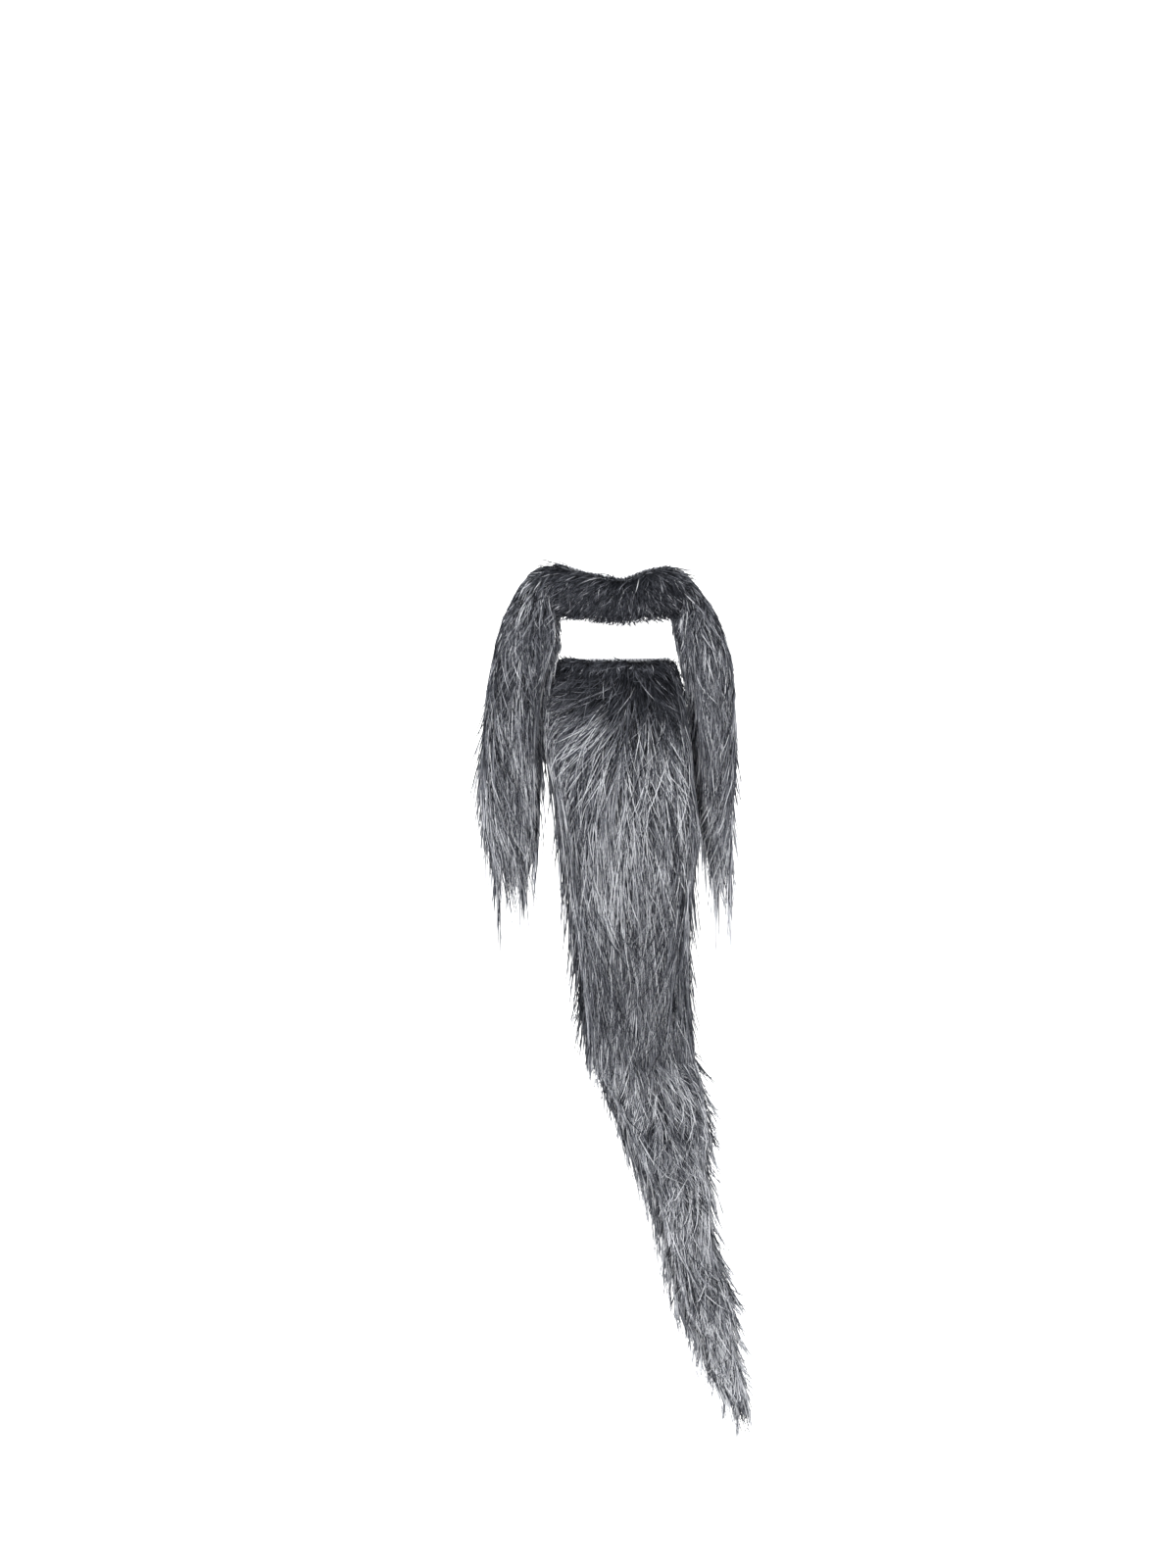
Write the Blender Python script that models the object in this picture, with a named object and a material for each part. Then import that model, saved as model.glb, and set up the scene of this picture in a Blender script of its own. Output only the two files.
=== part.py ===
"""A fake beard: a moustache and a chin piece of grey fur, each on its own knitted base cloth."""

from collections import namedtuple
from math import cos, pi, sin, sqrt
import random

import bmesh
import bpy
import numpy as np
from mathutils import Vector

MM = 0.001

# Sizes shared by all the pieces
CLOTH = 1.5 * MM
GAP = 0.3 * MM
FACE_RADIUS = 48.0 * MM
LOCK_SIDES = 6
LOCK_RINGS = 5

# Sizes of the moustache
BASE_SPAN = 36.0 * MM
BASE_HEIGHT = 42.0 * MM
BASE_CELLS = 3
BAND_SPAN = 20.4 * MM
BAND_HEIGHT = 12.0 * MM
BAND_DEPTH = 7.0 * MM

# Sizes of the two side locks
SIDE_TOP = 11.5 * MM
SIDE_DROP = 116.0 * MM
SIDE_REACH = 48.0 * MM
SIDE_DEPTH = 12.5 * MM
LEFT_CORE_END = 0.88
RIGHT_CORE_END = 0.94

# Sizes of the chin piece
BEARD_TOP = -23.3 * MM
BEARD_DROP = 270.0 * MM
BEARD_REACH = 48.0 * MM
BEARD_DEPTH = 18.0 * MM
BEARD_JOIN = 0.452
CHIN_REST = 5.5 * MM
CHIN_CELLS = 8
STRIP_LEAST = 1.6 * MM
KNIT_SHOWING = 0.9 * MM

# Outline of the moustache base: each row is a cut across the cloth, from its lip edge to its outer edge
Cut = namedtuple("Cut", "lip_x lip_z edge_x edge_z")
BASE_CUTS = (
    Cut(-0.700, -0.700, -0.900, -0.680),
    Cut(-0.660, -0.520, -0.975, -0.480),
    Cut(-0.620, -0.340, -0.990, -0.260),
    Cut(-0.590, -0.215, -0.960, -0.080),
    Cut(-0.540, -0.158, -0.820, 0.125),
    Cut(-0.410, -0.152, -0.595, 0.270),
    Cut(-0.220, -0.165, -0.300, 0.195),
    Cut(0.010, -0.190, 0.010, 0.140),
    Cut(0.200, -0.170, 0.230, 0.215),
    Cut(0.360, -0.155, 0.450, 0.245),
    Cut(0.460, -0.165, 0.670, 0.140),
    Cut(0.505, -0.220, 0.790, -0.040),
    Cut(0.530, -0.340, 0.830, -0.240),
    Cut(0.575, -0.520, 0.840, -0.460),
    Cut(0.620, -0.690, 0.800, -0.670),
)

# Trimmed fur over the lip: each row is an upright section
Band = namedtuple("Band", "across low high depth")
BAND_SECTIONS = (
    Band(-0.962, -0.590, 0.900, 1.05),
    Band(-0.830, -0.575, 0.790, 1.00),
    Band(-0.620, -0.580, 0.650, 0.95),
    Band(-0.340, -0.630, 0.600, 0.86),
    Band(0.010, -0.710, 0.430, 0.76),
    Band(0.250, -0.660, 0.600, 0.84),
    Band(0.450, -0.620, 0.730, 0.92),
    Band(0.640, -0.590, 0.800, 0.98),
    Band(0.836, -0.590, 0.820, 1.02),
)

# Hanging fur: each row is a level section, near and far measured from the middle of the lip
Level = namedtuple("Level", "down near far cling depth rest base")
LEFT_LEVELS = (
    Level(0.000, 0.425, 0.500, 1.00, 0.25, 0.0, 0.9),
    Level(0.030, 0.422, 0.590, 1.00, 0.48, 0.0, 0.9),
    Level(0.073, 0.418, 0.655, 1.00, 0.68, 0.0, 0.9),
    Level(0.125, 0.416, 0.700, 1.00, 0.82, 0.0, 0.9),
    Level(0.168, 0.416, 0.742, 1.00, 0.90, 0.0, 0.9),
    Level(0.254, 0.424, 0.785, 1.00, 0.98, 0.0, 0.9),
    Level(0.366, 0.510, 0.842, 0.85, 1.00, 0.0, 0.8),
    Level(0.513, 0.553, 0.900, 0.65, 1.00, 0.0, 0.7),
    Level(0.660, 0.570, 0.942, 0.50, 0.95, 0.0, 0.6),
    Level(0.789, 0.590, 0.940, 0.45, 0.82, 0.0, 0.6),
    Level(0.892, 0.640, 0.885, 0.42, 0.62, 0.0, 0.6),
    Level(0.940, 0.700, 0.862, 0.40, 0.40, 0.0, 0.6),
)
RIGHT_LEVELS = (
    Level(0.013, 0.366, 0.405, 1.00, 0.25, 0.0, 0.9),
    Level(0.041, 0.365, 0.445, 1.00, 0.46, 0.0, 0.9),
    Level(0.076, 0.363, 0.500, 1.00, 0.64, 0.0, 0.9),
    Level(0.120, 0.363, 0.567, 1.00, 0.78, 0.0, 0.9),
    Level(0.168, 0.366, 0.624, 1.00, 0.86, 0.0, 0.9),
    Level(0.209, 0.372, 0.656, 1.00, 0.90, 0.0, 0.9),
    Level(0.297, 0.423, 0.712, 0.95, 0.96, 0.0, 0.9),
    Level(0.371, 0.460, 0.735, 0.85, 0.96, 0.0, 0.8),
    Level(0.518, 0.512, 0.768, 0.65, 0.92, 0.0, 0.7),
    Level(0.665, 0.538, 0.775, 0.55, 0.86, 0.0, 0.6),
    Level(0.780, 0.594, 0.755, 0.50, 0.74, 0.0, 0.6),
    Level(0.900, 0.660, 0.785, 0.45, 0.56, 0.0, 0.6),
    Level(0.985, 0.720, 0.788, 0.42, 0.34, 0.0, 0.6),
)
CHIN_LEVELS = (
    Level(0.000, -0.431, 0.402, 1.00, 0.24, 1.00, 0.97),
    Level(0.025, -0.480, 0.418, 1.00, 0.44, 0.70, 0.96),
    Level(0.056, -0.502, 0.432, 1.00, 0.64, 0.34, 0.94),
    Level(0.109, -0.492, 0.456, 0.90, 0.78, 0.18, 0.90),
    Level(0.162, -0.440, 0.476, 0.75, 0.86, 0.15, 0.84),
    Level(0.226, -0.392, 0.535, 0.60, 0.89, 0.18, 0.78),
    Level(0.290, -0.362, 0.464, 0.50, 0.90, 0.22, 0.74),
    Level(0.366, -0.302, 0.440, 0.42, 0.95, 0.28, 0.68),
    Level(0.446, -0.250, 0.462, 0.36, 1.02, 0.36, 0.64),
    Level(0.500, -0.226, 0.500, 0.33, 1.10, 0.42, 0.60),
)
TAIL_LEVELS = (
    Level(0.446, -0.180, 0.392, 0.36, 0.74, 0.36, 0.86),
    Level(0.484, -0.190, 0.432, 0.34, 0.84, 0.40, 0.72),
    Level(0.522, -0.175, 0.515, 0.32, 1.10, 0.45, 0.58),
    Level(0.582, -0.022, 0.575, 0.30, 1.10, 0.45, 0.56),
    Level(0.620, 0.062, 0.592, 0.30, 1.02, 0.45, 0.56),
    Level(0.658, 0.150, 0.560, 0.30, 0.88, 0.45, 0.56),
    Level(0.700, 0.256, 0.625, 0.30, 0.80, 0.45, 0.56),
    Level(0.737, 0.300, 0.618, 0.30, 0.74, 0.45, 0.56),
    Level(0.775, 0.356, 0.645, 0.30, 0.70, 0.45, 0.56),
    Level(0.813, 0.406, 0.735, 0.30, 0.72, 0.45, 0.56),
    Level(0.855, 0.470, 0.792, 0.30, 0.66, 0.45, 0.56),
    Level(0.893, 0.615, 0.792, 0.30, 0.50, 0.45, 0.56),
    Level(0.931, 0.655, 0.838, 0.30, 0.46, 0.45, 0.56),
    Level(0.969, 0.800, 0.925, 0.30, 0.34, 0.45, 0.56),
    Level(0.995, 0.890, 0.968, 0.30, 0.24, 0.45, 0.56),
)

# Locks standing on the fur: across runs from -1 at one edge to 1 at the other
Locks = namedtuple("Locks", "down count start end length width")
LEFT_LOCKS = (
    Locks(0.08, 3, -0.70, 0.55, 0.34, 0.52),
    Locks(0.30, 4, -0.78, 0.78, 0.34, 0.42),
    Locks(0.52, 5, -0.84, 0.84, 0.30, 0.36),
    Locks(0.70, 5, -0.80, 0.80, 0.27, 0.42),
)
RIGHT_LOCKS = (
    Locks(0.08, 3, -0.70, 0.55, 0.34, 0.52),
    Locks(0.30, 3, -0.78, 0.78, 0.34, 0.50),
    Locks(0.52, 4, -0.84, 0.84, 0.32, 0.44),
    Locks(0.72, 4, -0.80, 0.80, 0.31, 0.46),
)
CHIN_LOCKS = (
    Locks(0.010, 6, -0.86, 0.86, 0.12, 0.26),
    Locks(0.075, 7, -0.90, 0.90, 0.15, 0.24),
    Locks(0.165, 7, -0.92, 0.92, 0.17, 0.25),
    Locks(0.262, 6, -0.90, 0.90, 0.15, 0.28),
    Locks(0.350, 6, -0.90, 0.90, 0.14, 0.30),
)
TAIL_LOCKS = (
    Locks(0.490, 5, -0.80, 0.80, 0.10, 0.34),
    Locks(0.552, 5, -0.90, 0.90, 0.11, 0.34),
    Locks(0.625, 4, -0.90, 0.90, 0.11, 0.38),
    Locks(0.705, 4, -0.90, 0.90, 0.10, 0.40),
    Locks(0.785, 4, -0.90, 0.90, 0.10, 0.42),
    Locks(0.865, 3, -0.85, 0.85, 0.09, 0.50),
    Locks(0.925, 3, -0.70, 0.70, 0.07, 0.56),
)
LOCK_INSET = 0.010
LOCK_LIFT = 0.16
LOCK_SPREAD = 0.16
LOCK_THICK = 0.55
LOCK_TUCKED = 1.05
LOCK_LOOSE = 0.70
BAND_LOCKS = 11
BAND_LOCK_WIDTH = 2.1 * MM
BAND_LOCK_FALL = 0.78

# Shape of a level section: how square its front is, and how far its edges stand forward of the cloth
SQUARENESS = 2.6
EDGE_FORWARD = 0.26
ARC_POINTS = 11
BACK_POINTS = 8
FILLET_POINTS = 2


def clear_scene():
    for item in list(bpy.data.objects):
        bpy.data.objects.remove(item, do_unlink=True)


def material_of(name, colour, roughness):
    material = bpy.data.materials.new(name)
    material.use_nodes = True
    shader = material.node_tree.nodes["Principled BSDF"]
    shader.inputs["Base Color"].default_value = (*colour, 1.0)
    shader.inputs["Roughness"].default_value = roughness
    shader.inputs["Metallic"].default_value = 0.0
    material.diffuse_color = (*colour, 1.0)
    return material


def on_face(x, z, lift, cling=1.0, rest=0.0):
    """The point that stands lift in front of the face's curve at x."""
    slope = cling * x / FACE_RADIUS
    depth = cling * x * x / (2.0 * FACE_RADIUS) + rest
    size = sqrt(1.0 + slope * slope)
    return Vector((x + lift * slope / size, depth - lift / size, z))


def mesh_object(name, points, faces, material=None):
    mesh = bpy.data.meshes.new(name)
    mesh.from_pydata([tuple(point) for point in points], [], faces)
    shape = bmesh.new()
    shape.from_mesh(mesh)
    bmesh.ops.recalc_face_normals(shape, faces=shape.faces)
    shape.to_mesh(mesh)
    shape.free()
    thing = bpy.data.objects.new(name, mesh)
    bpy.context.collection.objects.link(thing)
    if material:
        mesh.materials.append(material)
    return thing


def loft(name, rings, material=None):
    """A closed solid through rings of equal count, capped at both ends."""
    count = len(rings[0])
    points = [point for ring in rings for point in ring]
    faces = []
    for row in range(len(rings) - 1):
        for column in range(count):
            after = (column + 1) % count
            low = row * count
            high = low + count
            faces.append((low + column, low + after, high + after, high + column))
    faces.append(tuple(range(count)))
    last = (len(rings) - 1) * count
    faces.append(tuple(last + column for column in reversed(range(count))))
    return mesh_object(name, points, faces, material)


def sheet(name, rows, material):
    """A cloth of even thickness: each row holds pairs of a front point and a back point."""
    rings = []
    for row in rows:
        front = [pair[0] for pair in row]
        back = [pair[1] for pair in reversed(row)]
        rings.append(front + back)
    return loft(name, rings, material)


def ring_profile():
    """Across and rise of a level section's points, rise being a share of its depth."""
    points = []
    power = 2.0 / SQUARENESS
    for step in range(ARC_POINTS):
        angle = pi * (1.0 - step / (ARC_POINTS - 1))
        across = abs(cos(angle)) ** power * (1.0 if cos(angle) >= 0.0 else -1.0)
        rise = EDGE_FORWARD + (1.0 - EDGE_FORWARD) * sin(angle) ** power
        points.append((across, rise, False))
    return points


def section_ring(level, point):
    """One closed ring: over the front, round the edges and back along the cloth."""
    arc = ring_profile()
    fillet = []
    for step in range(1, FILLET_POINTS + 1):
        turn = 0.5 * pi * step / FILLET_POINTS
        across = level.base + (1.0 - level.base) * cos(turn)
        fillet.append((across, EDGE_FORWARD * (1.0 - sin(turn))))
    ring = [point(level, across, rise) for across, rise, _ in arc]
    ring += [point(level, across, rise) for across, rise in fillet]
    for step in range(1, BACK_POINTS):
        across = level.base * (1.0 - 2.0 * step / BACK_POINTS)
        ring.append(point(level, across, 0.0))
    ring += [point(level, -across, rise) for across, rise in reversed(fillet)]
    return ring


class Fur:
    """A hanging mass of fur whose level sections follow one table."""

    def __init__(self, levels, side, top, drop, reach, depth, rest):
        self.levels = levels
        self.side = side
        self.top = top
        self.drop = drop
        self.reach = reach
        self.depth = depth
        self.rest = rest

    def level(self, down):
        """The section at a share of the drop, read between the rows of the table."""
        downs = [row.down for row in self.levels]
        values = [float(np.interp(down, downs, column)) for column in zip(*self.levels)]
        return Level(down, *values[1:])

    def point(self, level, across, rise):
        middle = 0.5 * (level.near + level.far) * self.reach
        half = 0.5 * (level.far - level.near) * self.reach
        x = self.side * (middle + half * across)
        lift = CLOTH + GAP + rise * level.depth * self.depth
        z = self.top - level.down * self.drop
        return on_face(x, z, lift, level.cling, level.rest * self.rest)

    def surface(self, down, across, rise_extra=0.0):
        """A point on the outer face, and the direction that faces out there."""
        level = self.level(down)
        kept = max(-0.97, min(0.97, across))
        front = (1.0 - abs(kept) ** SQUARENESS) ** (1.0 / SQUARENESS)
        rise = EDGE_FORWARD + (1.0 - EDGE_FORWARD) * front
        centre = self.point(level, 0.0, 0.5 * EDGE_FORWARD)
        outer = self.point(level, across, rise + rise_extra)
        return outer, (outer - centre).normalized()

    def core(self, name, start, end, material):
        downs = [start]
        downs += [row.down for row in self.levels if start + 0.004 < row.down < end - 0.004]
        downs.append(end)
        rings = [section_ring(self.level(down), self.point) for down in downs]
        return loft(name, rings, material)


def lock_rings(path, outs, widths, thicks):
    """Rings of a tapered lock that follows a path and lies flat against the fur."""
    rings = []
    last = len(path) - 1
    for index, centre in enumerate(path):
        along = (path[min(index + 1, last)] - path[max(index - 1, 0)]).normalized()
        out = (outs[index] - along * outs[index].dot(along)).normalized()
        aside = along.cross(out)
        ring = []
        for corner in range(LOCK_SIDES):
            angle = 2.0 * pi * (corner + 0.5) / LOCK_SIDES
            ring.append(centre + aside * cos(angle) * widths[index] + out * sin(angle) * thicks[index])
        rings.append(ring)
    return rings


def fur_lock(name, fur, down, across, length, width, lean, lift):
    path = []
    outs = []
    widths = []
    thicks = []
    for ring in range(LOCK_RINGS):
        share = ring / (LOCK_RINGS - 1)
        outer, out = fur.surface(down + length * share, across + lean * share)
        taper = (0.30, 0.86, 1.00, 0.72, 0.10)[ring]
        sink = (1.00, 0.80, 0.55, 0.25, -0.15)[ring]
        thick = width * LOCK_THICK * taper
        path.append(outer - out * (width * LOCK_THICK * sink - lift * share))
        outs.append(out)
        widths.append(width * taper)
        thicks.append(thick)
    return loft(name, lock_rings(path, outs, widths, thicks))


def fuse(core, name, locks):
    """The locks and the core made one solid."""
    group = bpy.data.collections.new(name + "_locks")
    bpy.context.scene.collection.children.link(group)
    for lock in locks:
        bpy.context.collection.objects.unlink(lock)
        group.objects.link(lock)
        lock.hide_render = True
        lock.display_type = "WIRE"
    union = core.modifiers.new("Fused locks", "BOOLEAN")
    union.operation = "UNION"
    union.solver = "EXACT"
    union.operand_type = "COLLECTION"
    union.collection = group
    return core


def locks_on(fur, name, rows, chance, overhang_near, overhang_far):
    """Rows of locks over a fur core, whose edge locks stand out by a share of their width at most."""
    made = []
    for row_number, row in enumerate(rows):
        low = overhang_near * row.width - 1.0
        high = 1.0 - overhang_far * row.width
        for number in range(row.count):
            share = number / (row.count - 1)
            across = row.start + (row.end - row.start) * share + chance.uniform(-0.05, 0.05)
            across = max(low, min(high, across))
            lean = LOCK_SPREAD * across + chance.uniform(-0.06, 0.06)
            lean = max(low, min(high, across + lean)) - across
            down = max(fur.levels[0].down + LOCK_INSET, row.down + row.length * chance.uniform(-0.16, 0.16))
            level = fur.level(row.down)
            breadth = 0.5 * (level.far - level.near) * fur.reach
            made.append(
                fur_lock(
                    f"{name}_lock_{row_number}_{number}",
                    fur,
                    down,
                    across,
                    row.length * chance.uniform(0.88, 1.12),
                    row.width * breadth * chance.uniform(0.9, 1.1),
                    lean,
                    LOCK_LIFT * level.depth * fur.depth,
                )
            )
    return made


def moustache_base(material):
    rows = []
    for cut in BASE_CUTS:
        row = []
        for cell in range(BASE_CELLS + 1):
            share = cell / BASE_CELLS
            x = BASE_SPAN * (cut.lip_x + (cut.edge_x - cut.lip_x) * share)
            z = BASE_HEIGHT * (cut.lip_z + (cut.edge_z - cut.lip_z) * share)
            row.append((on_face(x, z, CLOTH), on_face(x, z, 0.0)))
        rows.append(row)
    return sheet("moustache_backing", rows, material)


def band_at(across):
    stations = [row.across for row in BAND_SECTIONS]
    values = [float(np.interp(across, stations, column)) for column in zip(*BAND_SECTIONS)]
    return Band(across, *values[1:])


def band_point(band, upward, rise):
    middle = 0.5 * (band.high + band.low) * BAND_HEIGHT
    half = 0.5 * (band.high - band.low) * BAND_HEIGHT
    lift = CLOTH + GAP + rise * band.depth * BAND_DEPTH
    return on_face(band.across * BAND_SPAN, middle + half * upward, lift)


def band_core(material):
    rings = []
    for band in BAND_SECTIONS:
        arc = [band_point(band, across, rise) for across, rise, _ in ring_profile()]
        back = [band_point(band, 0.9, 0.0), band_point(band, 0.0, 0.0), band_point(band, -0.9, 0.0)]
        rings.append(arc + back)
    return loft("moustache_fur", rings, material)


def band_lock(name, across, chance):
    """A short lock combed down and away from the middle parting."""
    fan = 0.16 * across / 0.9
    path = []
    outs = []
    widths = []
    thicks = []
    for ring in range(LOCK_RINGS):
        share = ring / (LOCK_RINGS - 1)
        band = band_at(max(-0.93, min(0.77, across + fan * share)))
        upward = 0.62 - (0.62 + BAND_LOCK_FALL) * share
        front = (1.0 - min(0.97, abs(upward)) ** SQUARENESS) ** (1.0 / SQUARENESS)
        outer = band_point(band, upward, EDGE_FORWARD + (1.0 - EDGE_FORWARD) * front)
        centre = band_point(band, 0.0, 0.5 * EDGE_FORWARD)
        taper = (0.35, 0.90, 1.00, 0.80, 0.15)[ring]
        out = (outer - centre).normalized()
        path.append(outer - out * BAND_LOCK_WIDTH * (0.5, 0.35, 0.2, 0.1, -0.05)[ring])
        outs.append(out)
        widths.append(BAND_LOCK_WIDTH * taper * chance.uniform(0.9, 1.1))
        thicks.append(BAND_LOCK_WIDTH * 0.6 * taper)
    return loft(name, lock_rings(path, outs, widths, thicks))


def moustache_band(material, chance):
    core = band_core(material)
    locks = []
    for number in range(BAND_LOCKS):
        across = -0.86 + 1.56 * number / (BAND_LOCKS - 1) + chance.uniform(-0.02, 0.02)
        locks.append(band_lock(f"moustache_fur_lock_{number}", across, chance))
    return fuse(core, "moustache_fur", locks)


def beard_base(beard, levels, material):
    """A shield under the chin fur that narrows to a strip down the tail."""
    rows = []
    for level in levels:
        middle = 0.5 * (level.near + level.far) * beard.reach
        half = 0.5 * (level.far - level.near) * beard.reach * (level.base - 0.05)
        half = max(half, STRIP_LEAST)
        z = beard.top - level.down * beard.drop
        if level is levels[0]:
            z += KNIT_SHOWING
        pairs = []
        for cell in range(CHIN_CELLS + 1):
            x = middle + half * (2.0 * cell / CHIN_CELLS - 1.0)
            rest = level.rest * beard.rest
            pairs.append((on_face(x, z, CLOTH, level.cling, rest), on_face(x, z, 0.0, level.cling, rest)))
        rows.append(pairs)
    return sheet("chin_backing", rows, material)


def build():
    clear_scene()
    chance = random.Random(7)
    knit = (0.34, 0.35, 0.37)
    dark = (0.085, 0.09, 0.105)
    grey = (0.17, 0.18, 0.20)

    moustache_base(material_of("moustache base cloth", knit, 0.85))
    moustache_band(material_of("trimmed moustache fur", dark, 0.75), chance)

    left = Fur(LEFT_LEVELS, -1.0, SIDE_TOP, SIDE_DROP, SIDE_REACH, SIDE_DEPTH, 0.0)
    right = Fur(RIGHT_LEVELS, 1.0, SIDE_TOP, SIDE_DROP, SIDE_REACH, SIDE_DEPTH, 0.0)
    sides = (
        (left, "moustache_lock_left", LEFT_LOCKS, LEFT_CORE_END),
        (right, "moustache_lock_right", RIGHT_LOCKS, RIGHT_CORE_END),
    )
    for fur, name, rows, end in sides:
        core = fur.core(name, fur.levels[0].down, end, material_of(name + " fur", grey, 0.7))
        fuse(core, name, locks_on(fur, name, rows, chance, LOCK_TUCKED, LOCK_LOOSE))

    chin = Fur(CHIN_LEVELS, 1.0, BEARD_TOP, BEARD_DROP, BEARD_REACH, BEARD_DEPTH, CHIN_REST)
    tail = Fur(TAIL_LEVELS, 1.0, BEARD_TOP, BEARD_DROP, BEARD_REACH, BEARD_DEPTH, CHIN_REST)
    beard_base(chin, CHIN_LEVELS[:-1] + TAIL_LEVELS[1:], material_of("chin base cloth", knit, 0.85))
    core = chin.core("chin_fur", 0.0, BEARD_JOIN, material_of("chin fur", grey, 0.7))
    fuse(core, "chin_fur", locks_on(chin, "chin_fur", CHIN_LOCKS, chance, LOCK_TUCKED, LOCK_TUCKED))
    tail_start = BEARD_JOIN + GAP / BEARD_DROP
    core = tail.core("tail_fur", tail_start, TAIL_LEVELS[-1].down, material_of("tail fur", grey, 0.7))
    fuse(core, "tail_fur", locks_on(tail, "tail_fur", TAIL_LOCKS, chance, LOCK_LOOSE, LOCK_LOOSE))


build()
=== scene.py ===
"""Dresses the fake beard: grey fur over under-fur coloured near black as painted shade, on two knitted cloths
with stitched edges.
"""

import logging
import math
from dataclasses import dataclass, replace
from enum import Enum
from typing import Callable

import bmesh
import bpy
import numpy as np
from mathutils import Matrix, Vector


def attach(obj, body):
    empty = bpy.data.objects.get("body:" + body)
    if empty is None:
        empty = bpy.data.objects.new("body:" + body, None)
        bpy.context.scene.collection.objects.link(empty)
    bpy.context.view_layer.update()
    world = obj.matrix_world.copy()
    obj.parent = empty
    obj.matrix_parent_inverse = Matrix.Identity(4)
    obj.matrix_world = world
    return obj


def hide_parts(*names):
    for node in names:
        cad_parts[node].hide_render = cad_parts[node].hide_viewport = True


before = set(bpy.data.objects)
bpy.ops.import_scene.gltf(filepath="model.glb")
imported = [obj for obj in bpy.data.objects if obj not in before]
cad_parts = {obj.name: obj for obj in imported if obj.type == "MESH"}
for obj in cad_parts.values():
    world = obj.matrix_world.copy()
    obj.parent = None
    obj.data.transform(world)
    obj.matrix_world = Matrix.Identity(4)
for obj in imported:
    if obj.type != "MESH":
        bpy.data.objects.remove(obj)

LOG = logging.getLogger("fake_beard")
MM = 0.001
CLOTH = 1.5 * MM
GAP = 0.3 * MM
FACE_RADIUS = 48.0 * MM
SQUARENESS = 2.6
EDGE_FORWARD = 0.26
STRAND_MAP = "OFBake"
TONE_STEPS = 32
FLATNESS = 0.55
SIDES = ((0.5, 1.0), (1.0, 0.0), (0.0, 0.5))
THREAD = 0.30 * MM
WISP = 0.21 * MM
CLUMPS = 991
Array = np.ndarray
Chance = np.random.Generator
Pair = tuple[float, float]
Triple = tuple[float, float, float]
Material = bpy.types.Material
Socket = bpy.types.NodeSocket
Thing = bpy.types.Object


class Slot(Enum):
    """The record's material slots."""

    CLOTH = "base_cloth"
    TRIMMED = "trimmed_fur"
    LONG = "long_fur"


class Side(Enum):
    """Which way a hanging mass of fur is measured from the middle of the lip."""

    LEFT = -1.0
    RIGHT = 1.0


# Finishes


class Nodes:
    """A new node material, with short ways to add nodes and to join them."""

    def __init__(self, name: str, roughness: float) -> None:
        """Starts the material with one Principled shader.

        Args:
            name: The material's name.
            roughness: How dull the surface is, from 0 to 1.
        """
        self.material = bpy.data.materials.new(name)
        self.material.use_nodes = True
        self.tree = self.material.node_tree
        self.shader = self.tree.nodes["Principled BSDF"]
        self.feed(self.shader, {"Roughness": roughness})

    def feed(self, node: bpy.types.Node, inputs: dict[str | int, object]) -> None:
        """Gives a node's sockets their values, or links them to other sockets.

        Args:
            node: The node.
            inputs: Its sockets' names or places, each with a value or a socket that leads to it.
        """
        for name, value in inputs.items():
            if isinstance(value, Socket):
                self.tree.links.new(value, node.inputs[name])
            else:
                node.inputs[name].default_value = value

    def add(self, kind: str, inputs: dict[str | int, object], **settings: str) -> bpy.types.Node:
        """Adds a node.

        Args:
            kind: The end of its type's name.
            inputs: What its sockets take, as in feed.
            settings: Its own settings.

        Returns:
            The node.
        """
        node = self.tree.nodes.new(f"ShaderNode{kind}")
        for setting, value in settings.items():
            setattr(node, setting, value)
        self.feed(node, inputs)
        return node

    def maths(self, kind: str, *values: float | Socket) -> Socket:
        """A Math node's output, from numbers or sockets."""
        return self.add("Math", dict(enumerate(values)), operation=kind).outputs[0]

    def ramp(self, factor: Socket, stops: list[tuple[float, Triple]]) -> Socket:
        """Adds a colour ramp.

        Args:
            factor: What it is read at.
            stops: Places from 0 to 1 and their linear colours.

        Returns:
            Its colour.
        """
        node = self.add("ValToRGB", {"Fac": factor})
        elements = node.color_ramp.elements
        while len(elements) < len(stops):
            elements.new(0.5)
        for element, (place, colour) in zip(elements, stops):
            element.position = place
            element.color = (*colour, 1.0)
        return node.outputs["Color"]

    def rough(self, height: Socket, strength: float, distance: float) -> None:
        """Gives the surface a fine relief."""
        bump = self.add("Bump", {"Strength": strength, "Distance": distance, "Height": height})
        self.feed(self.shader, {"Normal": bump.outputs["Normal"]})


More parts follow.
